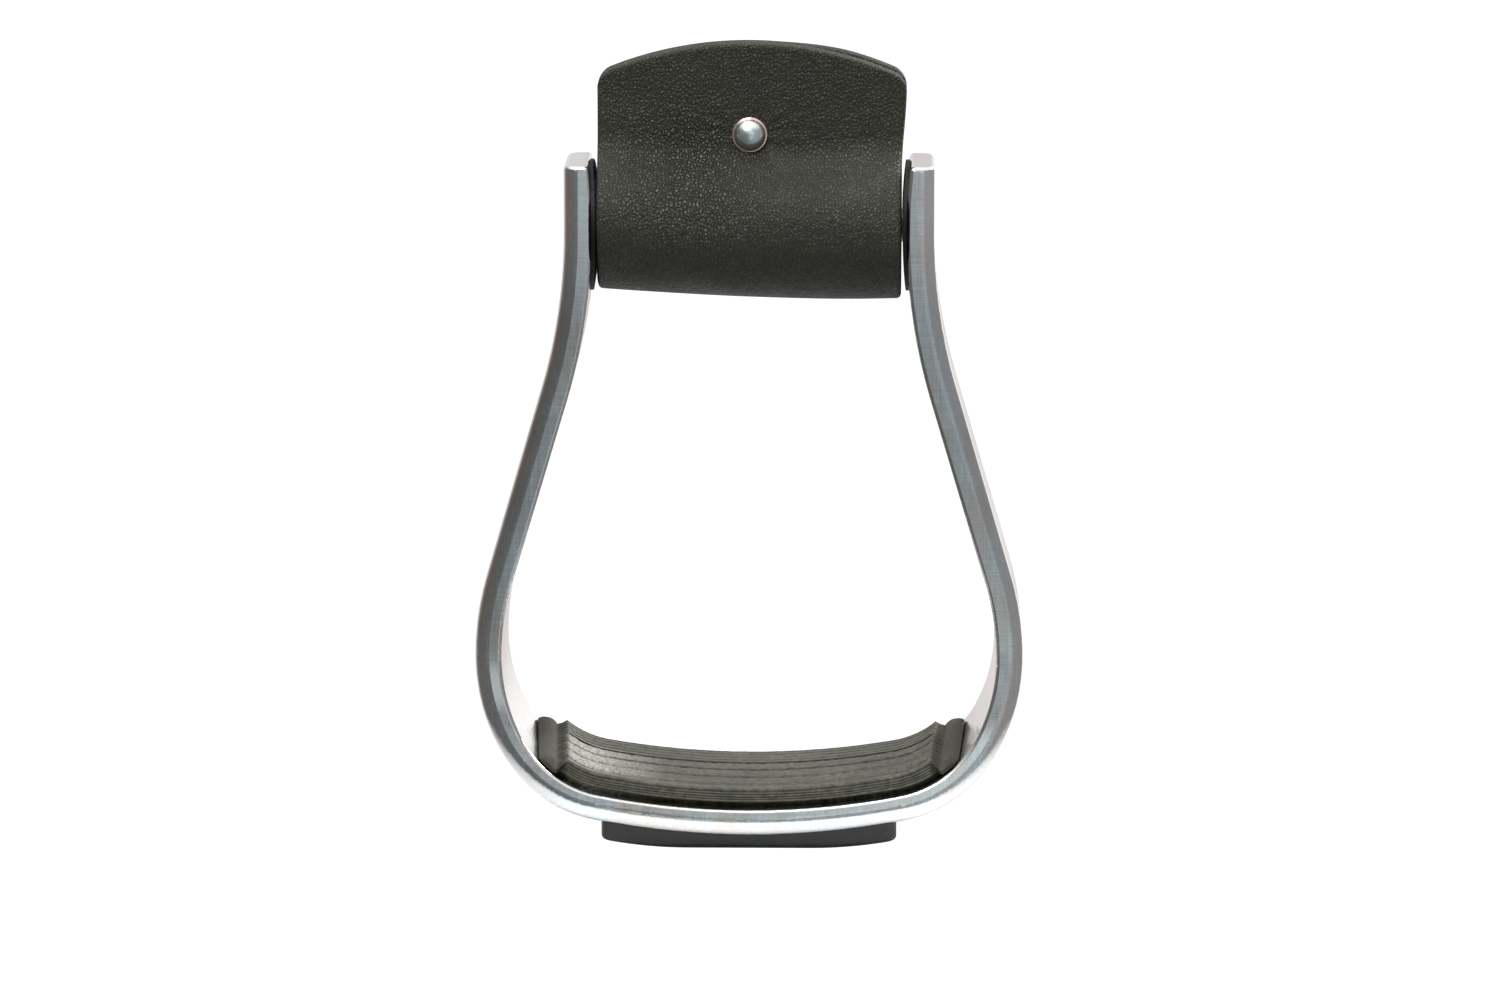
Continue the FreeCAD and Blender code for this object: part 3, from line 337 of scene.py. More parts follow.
def rubber():
    """Grey-black moulded rubber: dusty, with light grit and painted glints on the ribs at one end, painted
    shade between the ribs, and a clean roll painted darker outwards.
    """
    made = Material("tread_rubber", Specular_IOR_Level=0.5)
    clean = (0.020, 0.0195, 0.013)
    dusty = (0.108, 0.103, 0.064)
    grit_and_painted_glint = (0.38, 0.365, 0.32)
    clean_and_shaded_roll = (0.030, 0.029, 0.022)
    painted_groove_shade = (0.016, 0.015, 0.011)

    across, deep, _ = made.axes(made.place)
    dust = made.noise(620.0, 5.0, 0.72)
    broad = made.noise(42.0, 3.0)
    grit = made.noise(2200.0, 4.0, 0.7)
    coarse = made.noise(1500.0, 3.0, 0.7)

    # How far out a point is from the middle, set right for the slant of the ribs' ends.
    slant = made.ramp(deep, PAD_LOW.y, PAD_HIGH.y, RIBS_SLANT, 0.0)
    out = made.plus(made.maths("ABSOLUTE", across), slant)
    inner = made.ramp(out, RIBS_TO - 0.4 * MM, RIBS_TO + 0.2 * MM, 1.0, 0.0)
    behind_first = made.ramp(deep, MIDDLE_FROM - WIDE_GROOVE, MIDDLE_FROM - 0.5 * WIDE_GROOVE)
    before_last = made.ramp(deep, MIDDLE_TO + 0.5 * WIDE_GROOVE, MIDDLE_TO + WIDE_GROOVE, 1.0, 0.0)
    on_ribs = made.times(inner, made.times(behind_first, before_last))

    # The wide ribs' pattern repeats once in a pitch, with a groove where it begins again.
    turns = made.ramp(deep, MIDDLE_FROM, MIDDLE_TO, 0.0, WIDE_RIBS, clamp=False)
    from_rib = made.maths("ABSOLUTE", made.maths("SUBTRACT", made.maths("FRACT", turns), 0.5))
    half_groove = 0.5 * WIDE_GROOVE / WIDE_PITCH
    # Painted shade: the grooves between the wide ribs and the crevice at the ribs' ends are darkened,
    # where shade falls in them.
    in_groove = made.ramp(from_rib, 0.5 - 1.1 * half_groove, 0.5 - 0.6 * half_groove)
    crevice = made.times(made.ramp(out, RIBS_TO + 0.2 * MM, RIBS_TO + 1.4 * MM, 0.0, 0.75),
                         made.ramp(out, RIBS_TO + 2.2 * MM, RIBS_TO + 3.2 * MM, 1.0, 0.0))
    groove_and_crevice_shade = made.most(made.times(in_groove, on_ribs), crevice)
    # The roll is free of dust, and painted darker towards its outer side, where the bow's wall shades it.
    roll = made.times(made.ramp(out, RIBS_TO + 3.0 * MM, RIBS_TO + 7.0 * MM, 0.45, 1.0),
                      made.ramp(out, RIBS_TO + 2.0 * MM, RIBS_TO + 3.0 * MM))
    # Grit and painted glints on the ribs at the left end, lighter for the light that catches them there.
    pale = made.times(made.ramp(across, -0.45 * RIBS_TO, -0.85 * RIBS_TO), on_ribs)
    pale = made.times(pale, made.ramp(coarse, 0.38, 0.62, 0.15, 1.0))

    dusted = made.times(made.ramp(dust, 0.38, 0.68), made.ramp(broad, 0.35, 0.65, 0.35, 1.0))
    tint = made.colours(dusted, clean, dusty)
    tint = made.colours(pale, tint, grit_and_painted_glint)
    tint = made.colours(roll, tint, clean_and_shaded_roll)
    made.colour(made.colours(groove_and_crevice_shade, tint, painted_groove_shade))
    rough = made.plus(made.ramp(grit, 0.3, 0.7, 0.40, 0.62), made.ramp(groove_and_crevice_shade, 0, 1, 0.0, 0.55))
    made.roughness(made.plus(rough, made.ramp(roll, 0, 1, 0.0, 0.50)))
    made.bump(dust, 0.35 * MM, 0.45)
    made.bump(grit, 0.12 * MM, 0.6)
    return made.material


ALUMINIUM = aluminium()
STEEL = steel("bolt_steel", (0.56, 0.56, 0.58), 0.26)
NICKEL = nickel()
BRASS = steel("brass", (0.72, 0.55, 0.27), 0.28)
BLACK_NYLON = plastic("black_nylon", (0.003, 0.003, 0.003), (0.007, 0.007, 0.006), 0.5, 0.2)
WHITE_NYLON = plastic("white_nylon", (0.70, 0.69, 0.64), (0.80, 0.79, 0.75), 0.35)
BLACK_PLATE = plastic("black_plate", (0.004, 0.0045, 0.004), (0.010, 0.011, 0.010), 0.36)
LEATHER = leather()
RUBBER = rubber()

# Materials of the CAD nodes that stay, by the start of the node's name.
NODE_MATERIALS = {
    "stirrup_frame": ALUMINIUM,
    "pivot_bolt": STEEL,
    "roller_tube": STEEL,
    "roller_bush": WHITE_NYLON,
    "keeper_plate": BLACK_PLATE,
    "ear_washer": BLACK_NYLON,
    "tread_screw": STEEL,
    "pad_insert": BRASS,
}


def dress_cad_nodes():
    """Gives the CAD nodes that stay their better materials."""
    for name, node in frame["nodes"].items():
        for start, material in NODE_MATERIALS.items():
            if name.startswith(start):
                for place in node.material_slots:
                    place.material = material


# ---- the leather wrap --------------------------------------------------------------------------

# The strap's middle line is drawn with the bolt at Z = 0: a loop round the roller, a slope on each
# side, and two flaps that meet at the rivet and open towards their side edges.
RIVET_Z = RIVET_AXIS[2] - BOLT_Z
WRAP_TOP = WRAP_HIGH.z - BOLT_Z
WRAP_HALF = WRAP_HIGH.x
HIDE_EDGE = 1.1 * MM
FLAP_GAP = 0.4 * MM
LEAVE_ANGLE = math.radians(14)
SLOPE_HANDLE = 9.5 * MM
MEET_HANDLE = 0.95 * SLOPE_HANDLE
MEET_BELOW_RIVET = 1.5 * MM
OPENS_FROM = 6 * MM
OPEN_APART = 0.7 * MM
OPEN_UP = 1.5 * MM
OPEN_LEAN = 0.10
CLOSING = 0.5 * MM
CLOSED_AFTER = 12 * MM
FLARE = 0.4 * MM
FLARE_POWER = 1.4
ARCH_RADIUS = 86 * MM
TOP_CORNER = 3.0 * MM
BACK_FLAP_UP = 0.8 * MM
BACK_FLAP_RISE = (5 * MM, 25 * MM)
EDGE_CROWDING = 1.25

ACROSS_STEPS = 120
LOOP_STEPS = 70
SLOPE_STEPS = 40
FLAP_STEPS = 44

# The dimple that the rivet presses in, the folds on both sides of it, and slight waves all over.
WORKED_ABOVE = 0.3 * LOOP_MIDDLE
DIMPLE = 0.35 * MM
DIMPLE_REACH = 5 * MM
FOLDS = 0.32 * MM
FOLDS_AT = 7 * MM
FOLDS_ROUND = 4.2
FOLDS_THROUGH = 120
FOLDS_POWER = 1.5
WAVES = 0.16 * MM
WAVES_PER_METRE = 38

# How the strap is worn out of true between its washers.
BESIDE_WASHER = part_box("ear_washer_right")[0].x - 0.15 * MM
LOOP_IN_RIGHT = 0.1 * MM
FLAP_OUT_RIGHT = 1.1 * MM
LOOP_SKEW = math.tan(math.radians(1.9))
FLAP_SKEW = math.tan(math.radians(0.6))
LOOP_SAG = 1.4 * MM
LOOP_SAG_END = 0.5 * MM


def flap_top(x):
    """Height of the arched top edge above the bolt, with rounded corners at its ends."""
    arch = WRAP_TOP - ARCH_RADIUS + np.sqrt(ARCH_RADIUS ** 2 - x ** 2)
    return arch - corner_cut(TOP_CORNER, np.abs(x) - (WRAP_HALF - TOP_CORNER))


def half_profile(x, taller):
    """Middle of the leather from the bottom of the loop to the top of a flap, as (y, z) rows."""
    openness = smoothstep(abs(x), OPENS_FROM, WRAP_HALF)
    turn = np.linspace(-math.pi / 2, LEAVE_ANGLE, LOOP_STEPS)
    loop = np.column_stack([np.cos(turn), np.sin(turn)]) * LOOP_MIDDLE

    leave = loop[-1]
    leaving = np.array([-math.sin(LEAVE_ANGLE), math.cos(LEAVE_ANGLE)])
    meet = np.array([(FLAP_GAP + HIDE) / 2 + openness * OPEN_APART,
                     RIVET_Z - MEET_BELOW_RIVET + openness * OPEN_UP])
    meeting = np.array([-openness * OPEN_LEAN, 1.0])
    t = np.linspace(0, 1, SLOPE_STEPS + 1)[1:, None]
    slope = ((1 - t) ** 3 * leave
             + 3 * (1 - t) ** 2 * t * (leave + leaving * SLOPE_HANDLE)
             + 3 * (1 - t) * t ** 2 * (meet - meeting * MEET_HANDLE)
             + t ** 3 * meet)

    rise = np.linspace(meet[1], float(flap_top(x)) + taller, FLAP_STEPS + 1)[1:]
    above = rise - meet[1]
    closing = openness * CLOSING * smoothstep(above, 0, CLOSED_AFTER)
    flare = openness * FLARE * (above / (WRAP_TOP - RIVET_Z)) ** FLARE_POWER
    flap = np.column_stack([meet[0] - closing + flare, rise])
    return np.vstack([loop, slope, flap])


def strap_middle():
    """Middle of the leather as a grid of points: rows across the strap, each from front to back."""
    turn = np.linspace(-1, 1, ACROSS_STEPS)
    closer_at_edges = np.sign(turn) * (1 - (1 - np.abs(turn)) ** EDGE_CROWDING)
    rows = []
    for x in closer_at_edges * WRAP_HALF:
        back = half_profile(x, BACK_FLAP_UP * smoothstep(x, *BACK_FLAP_RISE))
        front = half_profile(x, 0.0) * np.array([-1, 1])
        line = np.vstack([front[::-1], back[1:]])
        rows.append(np.column_stack([np.full(len(line), x), line]))
    return np.array(rows)


def away_from_roller(grid):
    """Unit normals of the strap's grid, turned so that the one under the loop points down."""
    normal = np.cross(np.gradient(grid, axis=1), np.gradient(grid, axis=0))
    normal /= np.linalg.norm(normal, axis=2, keepdims=True)
    under_loop = normal[grid.shape[0] // 2, grid.shape[1] // 2]
    return -normal if under_loop[2] > 0 else normal


def worked_by_rivet(grid):
    """How far each point of the strap is moved outwards: the dimple, the folds and the waves."""
    x, y, z = np.moveaxis(grid, 2, 0)
    distance = np.hypot(x, z - RIVET_Z)
    angle = np.arctan2(z - RIVET_Z, x)
    dimple = -DIMPLE * np.exp(-(distance / DIMPLE_REACH) ** 2)
    ring = np.exp(-((distance - FOLDS_AT) / FOLDS_AT) ** 2)
    sideways = np.abs(np.cos(angle)) ** FOLDS_POWER
    spots = np.stack([FOLDS_ROUND * np.cos(angle), FOLDS_ROUND * np.sin(angle), FOLDS_THROUGH * y], axis=2)
    folds = FOLDS * noise_at(spots) * ring * sideways
    waves = WAVES * noise_at(grid * WAVES_PER_METRE)
    return np.where(z > WORKED_ABOVE, dimple + folds, 0.0) + waves


def runs_along(grid):
    """Distance along the strap from its front end, for every point of the grid."""
    length = np.linalg.norm(np.diff(grid, axis=1), axis=2)
    return np.concatenate([np.zeros((len(grid), 1)), np.cumsum(length, axis=1)], axis=1)


def half_thickness(grid, run):
    """Half the leather's thickness at every point, less towards its rounded edges."""
    to_side = WRAP_HALF - np.abs(grid[..., 0])
    to_end = np.minimum(run, run[:, -1:] - run)
    return HIDE / 2 - corner_cut(HIDE_EDGE, HIDE_EDGE - np.minimum(to_side, to_end))


def fit_between_washers(vertices):
    """Sets the leather close beside the washers, with its right edge on a slant and its loop sagging."""
    x, z = vertices[:, 0].copy(), vertices[:, 2].copy()
    up = (z + WRAP_HIGH.y) / (2 * WRAP_HIGH.y)
    right = BESIDE_WASHER - LOOP_IN_RIGHT * np.clip(1 - up, 0.0, 1.0)
    right += FLAP_OUT_RIGHT * smoothstep(z, 0.9 * WRAP_HIGH.y, 0.75 * WRAP_TOP)
    vertices[:, 0] = (right - BESIDE_WASHER) / 2 + x / WRAP_HALF * (right + BESIDE_WASHER) / 2
    vertices[:, 2] -= x * (LOOP_SKEW + (FLAP_SKEW - LOOP_SKEW) * smoothstep(z, 0.0, RIVET_Z))
    sag = LOOP_SAG_END + (LOOP_SAG - LOOP_SAG_END) * (1 - (x / WRAP_HALF) ** 2)
    vertices[:, 2] -= sag * smoothstep(-z, 0.0, LOOP_MIDDLE)


def sheet_faces(rows, columns):
    """Faces of a sheet: its outer grid, its inner grid turned over, and the rim that joins them."""
    inner = rows * columns
    faces = quads(rows, columns)
    faces += [tuple(inner + v for v in face[::-1]) for face in quads(rows, columns)]
    rim = [i * columns for i in range(rows)]
    rim += [(rows - 1) * columns + j for j in range(1, columns)]
    rim += [i * columns + columns - 1 for i in range(rows - 2, -1, -1)]
    rim += list(range(columns - 2, 0, -1))
    for first, second in zip(rim, rim[1:] + rim[:1]):
        faces.append((first, second, inner + second, inner + first))
    return faces


def build_wrap():
    """A strap of leather folded round the roller, dimpled and creased where it is riveted."""
    smooth = strap_middle()
    normal = away_from_roller(smooth)
    middle = smooth + normal * worked_by_rivet(smooth)[..., None]
    run = runs_along(middle)
    thick = normal * half_thickness(middle, run)[..., None]
    vertices = np.vstack([(middle + thick).reshape(-1, 3), (middle - thick).reshape(-1, 3)])
    fit_between_washers(vertices)
    vertices[:, 2] += BOLT_Z
    piece = new_piece("leather_wrap_hide", vertices, sheet_faces(*run.shape), LEATHER)
    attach(piece, "wrap")
    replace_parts(piece, "leather_wrap")
    return piece, float(run[len(run) // 2, -1])


# ---- the rivet ---------------------------------------------------------------------------------

CAP_RADIUS = RIVET_HIGH.x
CAP_BASE = 3.1 * MM
CAP_ROLL = 0.42 * MM
CAP_SHOULDER = CAP_BASE + 1.75 * CAP_ROLL
ROLL_START = 0.36 * math.pi
SOCKET_END = CAP_BASE + 0.8 * MM
POST_RADIUS = 1.5 * MM
DOME_STEPS = 22
ROLL_STEPS = 8
LATHE_STEPS = 72


def cap_profile(height, core_end):
    """A domed cap with a rolled rim, and its socket or post, as (radius, out) rows from its crown."""
    rim_radius = CAP_RADIUS - CAP_ROLL
    rise = height - CAP_SHOULDER
    ball = (rim_radius ** 2 + rise ** 2) / (2 * rise)
    sweep = math.asin(rim_radius / ball)
    dome = [(ball * math.sin(t), height - ball * (1 - math.cos(t)))
            for t in np.linspace(0.0, sweep, DOME_STEPS)]
    roll = [(rim_radius + CAP_ROLL * math.cos(t), CAP_BASE + CAP_ROLL + CAP_ROLL * math.sin(t))
            for t in np.linspace(ROLL_START, -math.pi / 2, ROLL_STEPS)]
    core = [(POST_RADIUS, CAP_BASE), (POST_RADIUS, core_end), (0.0, core_end)]
    return dome + roll + core


def lathe(name, profile, side):
    """Turns a profile about the rivet's axis, which runs along Y, towards the side given."""
    z = RIVET_AXIS[2]
    vertices = []
    for radius, out in profile[1:-1]:
        for i in range(LATHE_STEPS):
            turn = 2 * math.pi * i / LATHE_STEPS
            vertices.append((radius * math.cos(turn), side * out, z + radius * math.sin(turn)))
    rings = len(profile) - 2
    faces = quads(rings, LATHE_STEPS, closed_columns=True)
    for end, ring in ((profile[0], 0), (profile[-1], rings - 1)):
        vertices.append((0.0, side * end[1], z))
        start = ring * LATHE_STEPS
        for i in range(LATHE_STEPS):
            faces.append((start + i, start + (i + 1) % LATHE_STEPS, len(vertices) - 1))
    piece = new_piece(name, vertices, faces, NICKEL)
    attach(piece, "wrap")
    return piece


def build_rivet():
    """The domed front cap with its socket, and the flatter rear cap with the post that fills it."""
    front = cap_profile(-RIVET_LOW.y, SOCKET_END)
    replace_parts(lathe("rivet_front_cap", front, -1), "rivet_cap")
    rear = cap_profile(POST_HIGH.y, -SOCKET_END)
    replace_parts(lathe("rivet_rear_cap", rear, 1), "rivet_post")


# ---- the rubber tread --------------------------------------------------------------------------

# The inside of the bow, which the pad lies on: a long flat arc under the foot, then a tight corner.
TREAD_RADIUS = 203.4 * MM
HEEL_RADIUS = 26.8 * MM
HEEL_START = math.radians(79.7)
TREAD_CENTRE_Z = PAD_LOW.z + TREAD_RADIUS
HEEL_X = (TREAD_RADIUS - HEEL_RADIUS) * math.cos(HEEL_START)
HEEL_Z = TREAD_CENTRE_Z - (TREAD_RADIUS - HEEL_RADIUS) * math.sin(HEEL_START)
TREAD_RUN = TREAD_RADIUS * (math.pi / 2 - HEEL_START)
NARROWS_ABOVE = 3 * MM
NARROWING = 0.185

# The pad along the bow, in runs from its middle: ribs, then a roll across it, then a thin lip.
PAD_TIP = math.acos((PAD_HIGH.x - HEEL_X) / HEEL_RADIUS)
LIP_CUT = 0.8 * MM
PAD_RUN = TREAD_RUN + HEEL_RADIUS * (HEEL_START - PAD_TIP) - LIP_CUT
PAD_THICK = 5.1 * MM
PAD_CROWN = 0.3 * MM
RIBS_END = 50.9 * MM
RIBS_DROP = 1.8 * MM
RIB_TIP = 0.9 * MM
RIBS_SLOPE = 1.0 * MM
FADE_FROM = RIBS_END + 0.6 * MM
ROLL_AT = 53.55 * MM
ROLL_RADIUS = 3.5 * MM
ROLL_SINK = -0.7 * MM
ROLL_REACH = 3.35 * MM
ROLL_ARC = (0.64 * math.pi, 0.03 * math.pi)
ROLL_LEAN = 2.9 * MM
LEAN_ALONG = (30 * MM, 50 * MM)
ROLL_END_FROM = 0.84
ROLL_END_DROP = 0.8
REAR_END_SHARE = 0.4
LIP = 1.0 * MM
LIP_EDGE = 0.6 * MM
END_CORNER = 3 * MM
RIB_ROWS = 78
SLOPE_ROWS = 8
ROLL_ROWS = 26
LIP_ROWS = 3

# The pad across the bow: grooves between its ribs, grit on them, and ridged walls below.
RIB_DEPTH = 0.85 * MM
FINE_RIBS = 4
FINE_GROOVE = 1.3 * MM
FINE_DEPTH_SHARE = 0.75
GRIT_HIGH = 0.2 * MM
GRIT_PER_METRE = 900
FINE_GRIT_SHARE = 0.25
WALL_RIDGES = 4
RIDGE_STEPS = 4
RIDGE_DEEP = 0.38 * MM
UNDERCUT = 1.6 * MM
UNDERCUT_IN = 2.4 * MM
WALL_TOP = 0.86
WALL_LEAN = 0.5 * MM
WALL_EDGE = 0.5 * MM
EDGE_STEPS = 5
TOP_ACROSS = 0.952
TOP_STEPS = 210

# The shares of the height from which on a point takes the grooves and grit, and the crown.
GROOVES_FROM = 0.99
CROWN_FROM = 0.5


def on_tread(run, high):
    """The point a run along the bow's inside from its middle, and a height off it, as (x, z)."""
    side = np.sign(run)
    run = np.abs(run)
    flat = run < TREAD_RUN
    turn = np.where(flat, math.pi / 2 - run / TREAD_RADIUS, HEEL_START - (run - TREAD_RUN) / HEEL_RADIUS)
    centre_x = np.where(flat, 0.0, HEEL_X)
    centre_z = np.where(flat, TREAD_CENTRE_Z, HEEL_Z)
    radius = np.where(flat, TREAD_RADIUS, HEEL_RADIUS) - high
    return side * (centre_x + radius * np.cos(turn)), centre_z - radius * np.sin(turn)


def rib_tips(y):
    """How far each wide rib reaches past the others' ends, as a blunt point."""
    from_middle = np.abs(2 * np.mod((y - MIDDLE_FROM) / WIDE_PITCH, 1.0) - 1)
    return np.where((y > MIDDLE_FROM) & (y < MIDDLE_TO), RIB_TIP * (1 - from_middle), 0.0)


def pad_height(run, tips):
    """Thickness of the rubber: the ribbed part, the smooth roll at its end, and the thin lip."""
    ribbed = PAD_THICK - RIBS_DROP * np.maximum(run - RIBS_END - tips, 0.0) / RIBS_SLOPE
    roll = ROLL_SINK + np.sqrt(np.maximum(ROLL_RADIUS ** 2 - (run - ROLL_AT) ** 2, 0.0))
    to_tip = np.clip((PAD_RUN - run) / LIP, 0.0, 1.0)
    lip = LIP_EDGE + (LIP - LIP_EDGE) * np.sqrt(to_tip)
    return np.maximum(np.maximum(ribbed, roll), lip)


def end_share(across, run):
    """What is left of the height where the roll's two ends are rounded, the front more than the rear."""
    rolled = smoothstep(run, RIBS_END, RIBS_END + RIBS_SLOPE) * np.where(across < 0, 1.0, REAR_END_SHARE)
    edge = np.clip((np.abs(across) - ROLL_END_FROM) / (1 - ROLL_END_FROM), 0.0, 1.0)
    return 1 - rolled * (1 - np.sqrt(1 - ROLL_END_DROP * edge ** 2))


def pad_half_depth(run, z):
    """Half the pad's depth: it stays inside the bow, which gets narrower as it rises."""
    rise = np.maximum(z - PAD_LOW.z, 0.0)
    narrowing = NARROWING * np.maximum(rise - NARROWS_ABOVE, 0.0)
    return PAD_HIGH.y - narrowing - corner_cut(END_CORNER, END_CORNER - (PAD_RUN - run))


def groove(y, at, width):
    """A rounded groove: 1 along its middle, and 0 outside its width."""
    return np.maximum(0.0, 1 - ((y - at) / (width / 2)) ** 2)


def rib_cut(y):
    """How much of the ribs' full depth is cut away at y, between 0 and 1."""
    cut = np.zeros_like(y)
    for i in range(WIDE_RIBS + 1):
        cut = np.maximum(cut, groove(y, MIDDLE_FROM + i * WIDE_PITCH, WIDE_GROOVE))
    pitch = (PAD_HIGH.y - MIDDLE_TO) / (FINE_RIBS + 0.5)
    for i in range(1, FINE_RIBS + 1):
        cut = np.maximum(cut, groove(y, MIDDLE_TO + i * pitch, FINE_GROOVE) * FINE_DEPTH_SHARE)
    return cut


def pad_runs():
    """Places along the pad from end to end, close together where it changes shape."""
    half = np.concatenate([
        np.linspace(0.0, RIBS_END - 0.1 * MM, RIB_ROWS),
        np.linspace(RIBS_END, RIBS_END + RIBS_SLOPE, SLOPE_ROWS),
        ROLL_AT + ROLL_REACH * np.cos(np.linspace(*ROLL_ARC, ROLL_ROWS)),
        np.linspace(ROLL_AT + ROLL_REACH, PAD_RUN, LIP_ROWS),
    ])
    return np.concatenate([-half[:0:-1], half])


def pad_section():
    """Points round the pad's section, front underside to rear underside, as (across, up) shares.

    Across runs from -1 to 1 over the half depth. Up runs from 0 to 1 over the height. The third value
    is how far the wall is pulled in, in metres.
    """
    low = UNDERCUT / PAD_THICK
    wall = [(-1.0, 0.0, UNDERCUT_IN), (-1.0, 0.5 * low, UNDERCUT_IN)]
    steps = WALL_RIDGES * RIDGE_STEPS
    for i in range(steps + 1):
        share = i / steps
        pulled = RIDGE_DEEP * (0.5 - 0.5 * math.cos(share * WALL_RIDGES * 2 * math.pi))
        wall.append((-1.0, low + share * (WALL_TOP - low), pulled + share * WALL_LEAN))
    for i in range(1, EDGE_STEPS):
        turn = math.pi / 2 * i / EDGE_STEPS
        up = WALL_TOP + (1 - WALL_TOP) * math.sin(turn)
        wall.append((-1.0, up, WALL_LEAN + WALL_EDGE * (1 - math.cos(turn))))
    top = [(across, 1.0, 0.0) for across in np.linspace(-TOP_ACROSS, TOP_ACROSS, TOP_STEPS)]
    return np.array(wall + top + [(-across, up, pulled) for across, up, pulled in wall[::-1]])


def pad_row(run, section):
    """The pad's section at one run along the bow, as (x, y, z) rows."""
    across, up, pulled = section.T
    size = abs(run)
    place = size - ROLL_LEAN * (1 - across) / 2 * smoothstep(size, *LEAN_ALONG)
    high = pad_height(size, rib_tips(across * PAD_HIGH.y)) * end_share(across, size)
    deep = pad_half_depth(size, on_tread(place, high)[1])
    y = across * deep - np.sign(across) * pulled * np.minimum(1.0, high / PAD_THICK)

    on_top = up > GROOVES_FROM
    ribbed = 1 - smoothstep(size, FADE_FROM, RIBS_END + RIBS_SLOPE)
    cut = RIB_DEPTH * ribbed * rib_cut(across * PAD_HIGH.y)
    on_wide_ribs = (y > MIDDLE_FROM) & (y < MIDDLE_TO)
    spots = np.column_stack([np.full_like(y, run), y, np.zeros_like(y)])
    grit = GRIT_HIGH * ribbed * np.where(on_wide_ribs, 1.0, FINE_GRIT_SHARE)
    grit *= noise_at(spots * GRIT_PER_METRE)
    crown = PAD_CROWN * across ** 2 * (up > CROWN_FROM) * ribbed
    top = np.where(on_top, high - cut - crown + grit, up * (high - crown))
    x, z = on_tread(np.where(run < 0, -place, place), top)
    return np.column_stack([x, y, z])


def build_tread():
    """The rubber pad: ribs along the bow, a smooth roll across each end, and a thin lip past it."""
    runs = pad_runs()
    section = pad_section()
    vertices = np.vstack([pad_row(run, section) for run in runs])
    rows, columns = len(runs), len(section)
    faces = quads(rows, columns)
    faces += [(i * columns, (i + 1) * columns, (i + 2) * columns - 1, (i + 1) * columns - 1)
              for i in range(rows - 1)]
    faces.append(tuple(range(columns)))
    faces.append(tuple(range((rows - 1) * columns, rows * columns)))
    piece = new_piece("tread_rubber_pad", vertices, faces, RUBBER)
    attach(piece, "stirrup")
    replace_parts(piece, "tread_pad")


# ---- floor, light and camera -------------------------------------------------------------------

LOOK_AT = Vector((0.0, 0.0, 0.0837))
VIEW_FAR = 1.74
VIEW_ABOVE = math.radians(10.4)
VIEW_ASIDE = math.radians(1.0)
LENS = 170

FLOOR_RADIUS = 0.14
FLOOR_FADES_FROM = 0.05
FLOOR_DOWN = 0.05 * MM
FLOOR_SIDES = 96

# The walls of the studio, by direction from the front (0) to the back (1).
STUDIO = [
    (0.00, (0.165, 0.185, 0.19)),
    (0.05, (0.16, 0.17, 0.17)),
    (0.50, (0.17, 0.15, 0.135)),
    (0.72, (0.24, 0.21, 0.195)),
    (0.90, (0.84, 0.79, 0.78)),
]
BACKGROUND = (1.1, 1.1, 1.1)
OVERHEAD = (1.35, 1.35, 1.33)
RIGHT_WALL = (0.36, 0.36, 0.36)
RIGHT_GLOW = (1.45, 1.40, 1.36)
EYE_CARD = (0.72, 0.80, 0.82)
HIGH_CARD = (0.98, 1.02, 1.02)

# Where each of them comes in: the direction's part along an axis at which it starts, then the part
# from which on it is full.
OVERHEAD_UP = (0.45, 0.8)
WALL_SIDE = (-0.10, 0.45)
GLOW_SIDE = (0.06, 0.25)
GLOW_BACK = (0.7, 0.9)
CARDS_FRONT = (-0.80, -0.92)
EYE_CARD_BOTTOM = (-0.10, -0.07)
EYE_CARD_TOP = (0.10, 0.05)
EYE_CARD_LEFT = (-0.14, -0.08)
EYE_CARD_RIGHT = (-0.04, 0.0)
EYE_CARD_RIGHT_SHARE = 0.40
HIGH_CARD_ABOVE = (0.10, 0.16)
HIGH_CARD_BELOW = (-0.10, -0.14)
HIGH_CARD_BELOW_SHARE = 0.55
HIGH_CARD_SIDE = (-0.055, 0.02)
HIGH_CARD_LEFT_SHARE = 0.12

# Name, place, width and height, and power of each lamp. They all point at the stirrup.
LAMPS = [
    ("overhead", (-0.2, -0.2, 1.2), (0.5, 0.35), 5),
    ("front_left", (-0.42, -0.8, 1.15), (0.14, 0.14), 11),
    ("back_right", (0.9, 0.6, 0.8), (0.4, 0.4), 14),
]


def floor_material():
    """Off-white paper: plain white to the camera, fading out for other rays, and unseen from below."""
    made = Material("pale_floor", Roughness=0.9, Specular_IOR_Level=0.1,
                    Emission_Color=(1, 1, 1, 1), Emission_Strength=0.15)
    cloud = made.noise(1.5, 2.0)
    made.colour(made.colours(cloud, (0.90, 0.90, 0.90), (0.93, 0.93, 0.93)))
    distance = made.node("ShaderNodeVectorMath", {0: made.place}, operation="LENGTH").outputs["Value"]
    clear = made.node("ShaderNodeBsdfTransparent").outputs[0]
    white = made.node("ShaderNodeEmission", {"Color": (*BACKGROUND, 1)}).outputs[0]
    seen = made.node("ShaderNodeLightPath").outputs["Is Camera Ray"]
    below = made.node("ShaderNodeNewGeometry").outputs["Backfacing"]
    fading = made.ramp(distance, FLOOR_FADES_FROM, FLOOR_RADIUS)
    shown = made.shader.outputs[0]
    for factor, other in ((fading, clear), (seen, white), (below, clear)):
        shown = made.node("ShaderNodeMixShader", {0: factor, 1: shown, 2: other}).outputs[0]
    made.link(shown, made.tree.nodes["Material Output"].inputs["Surface"])
    return made.material


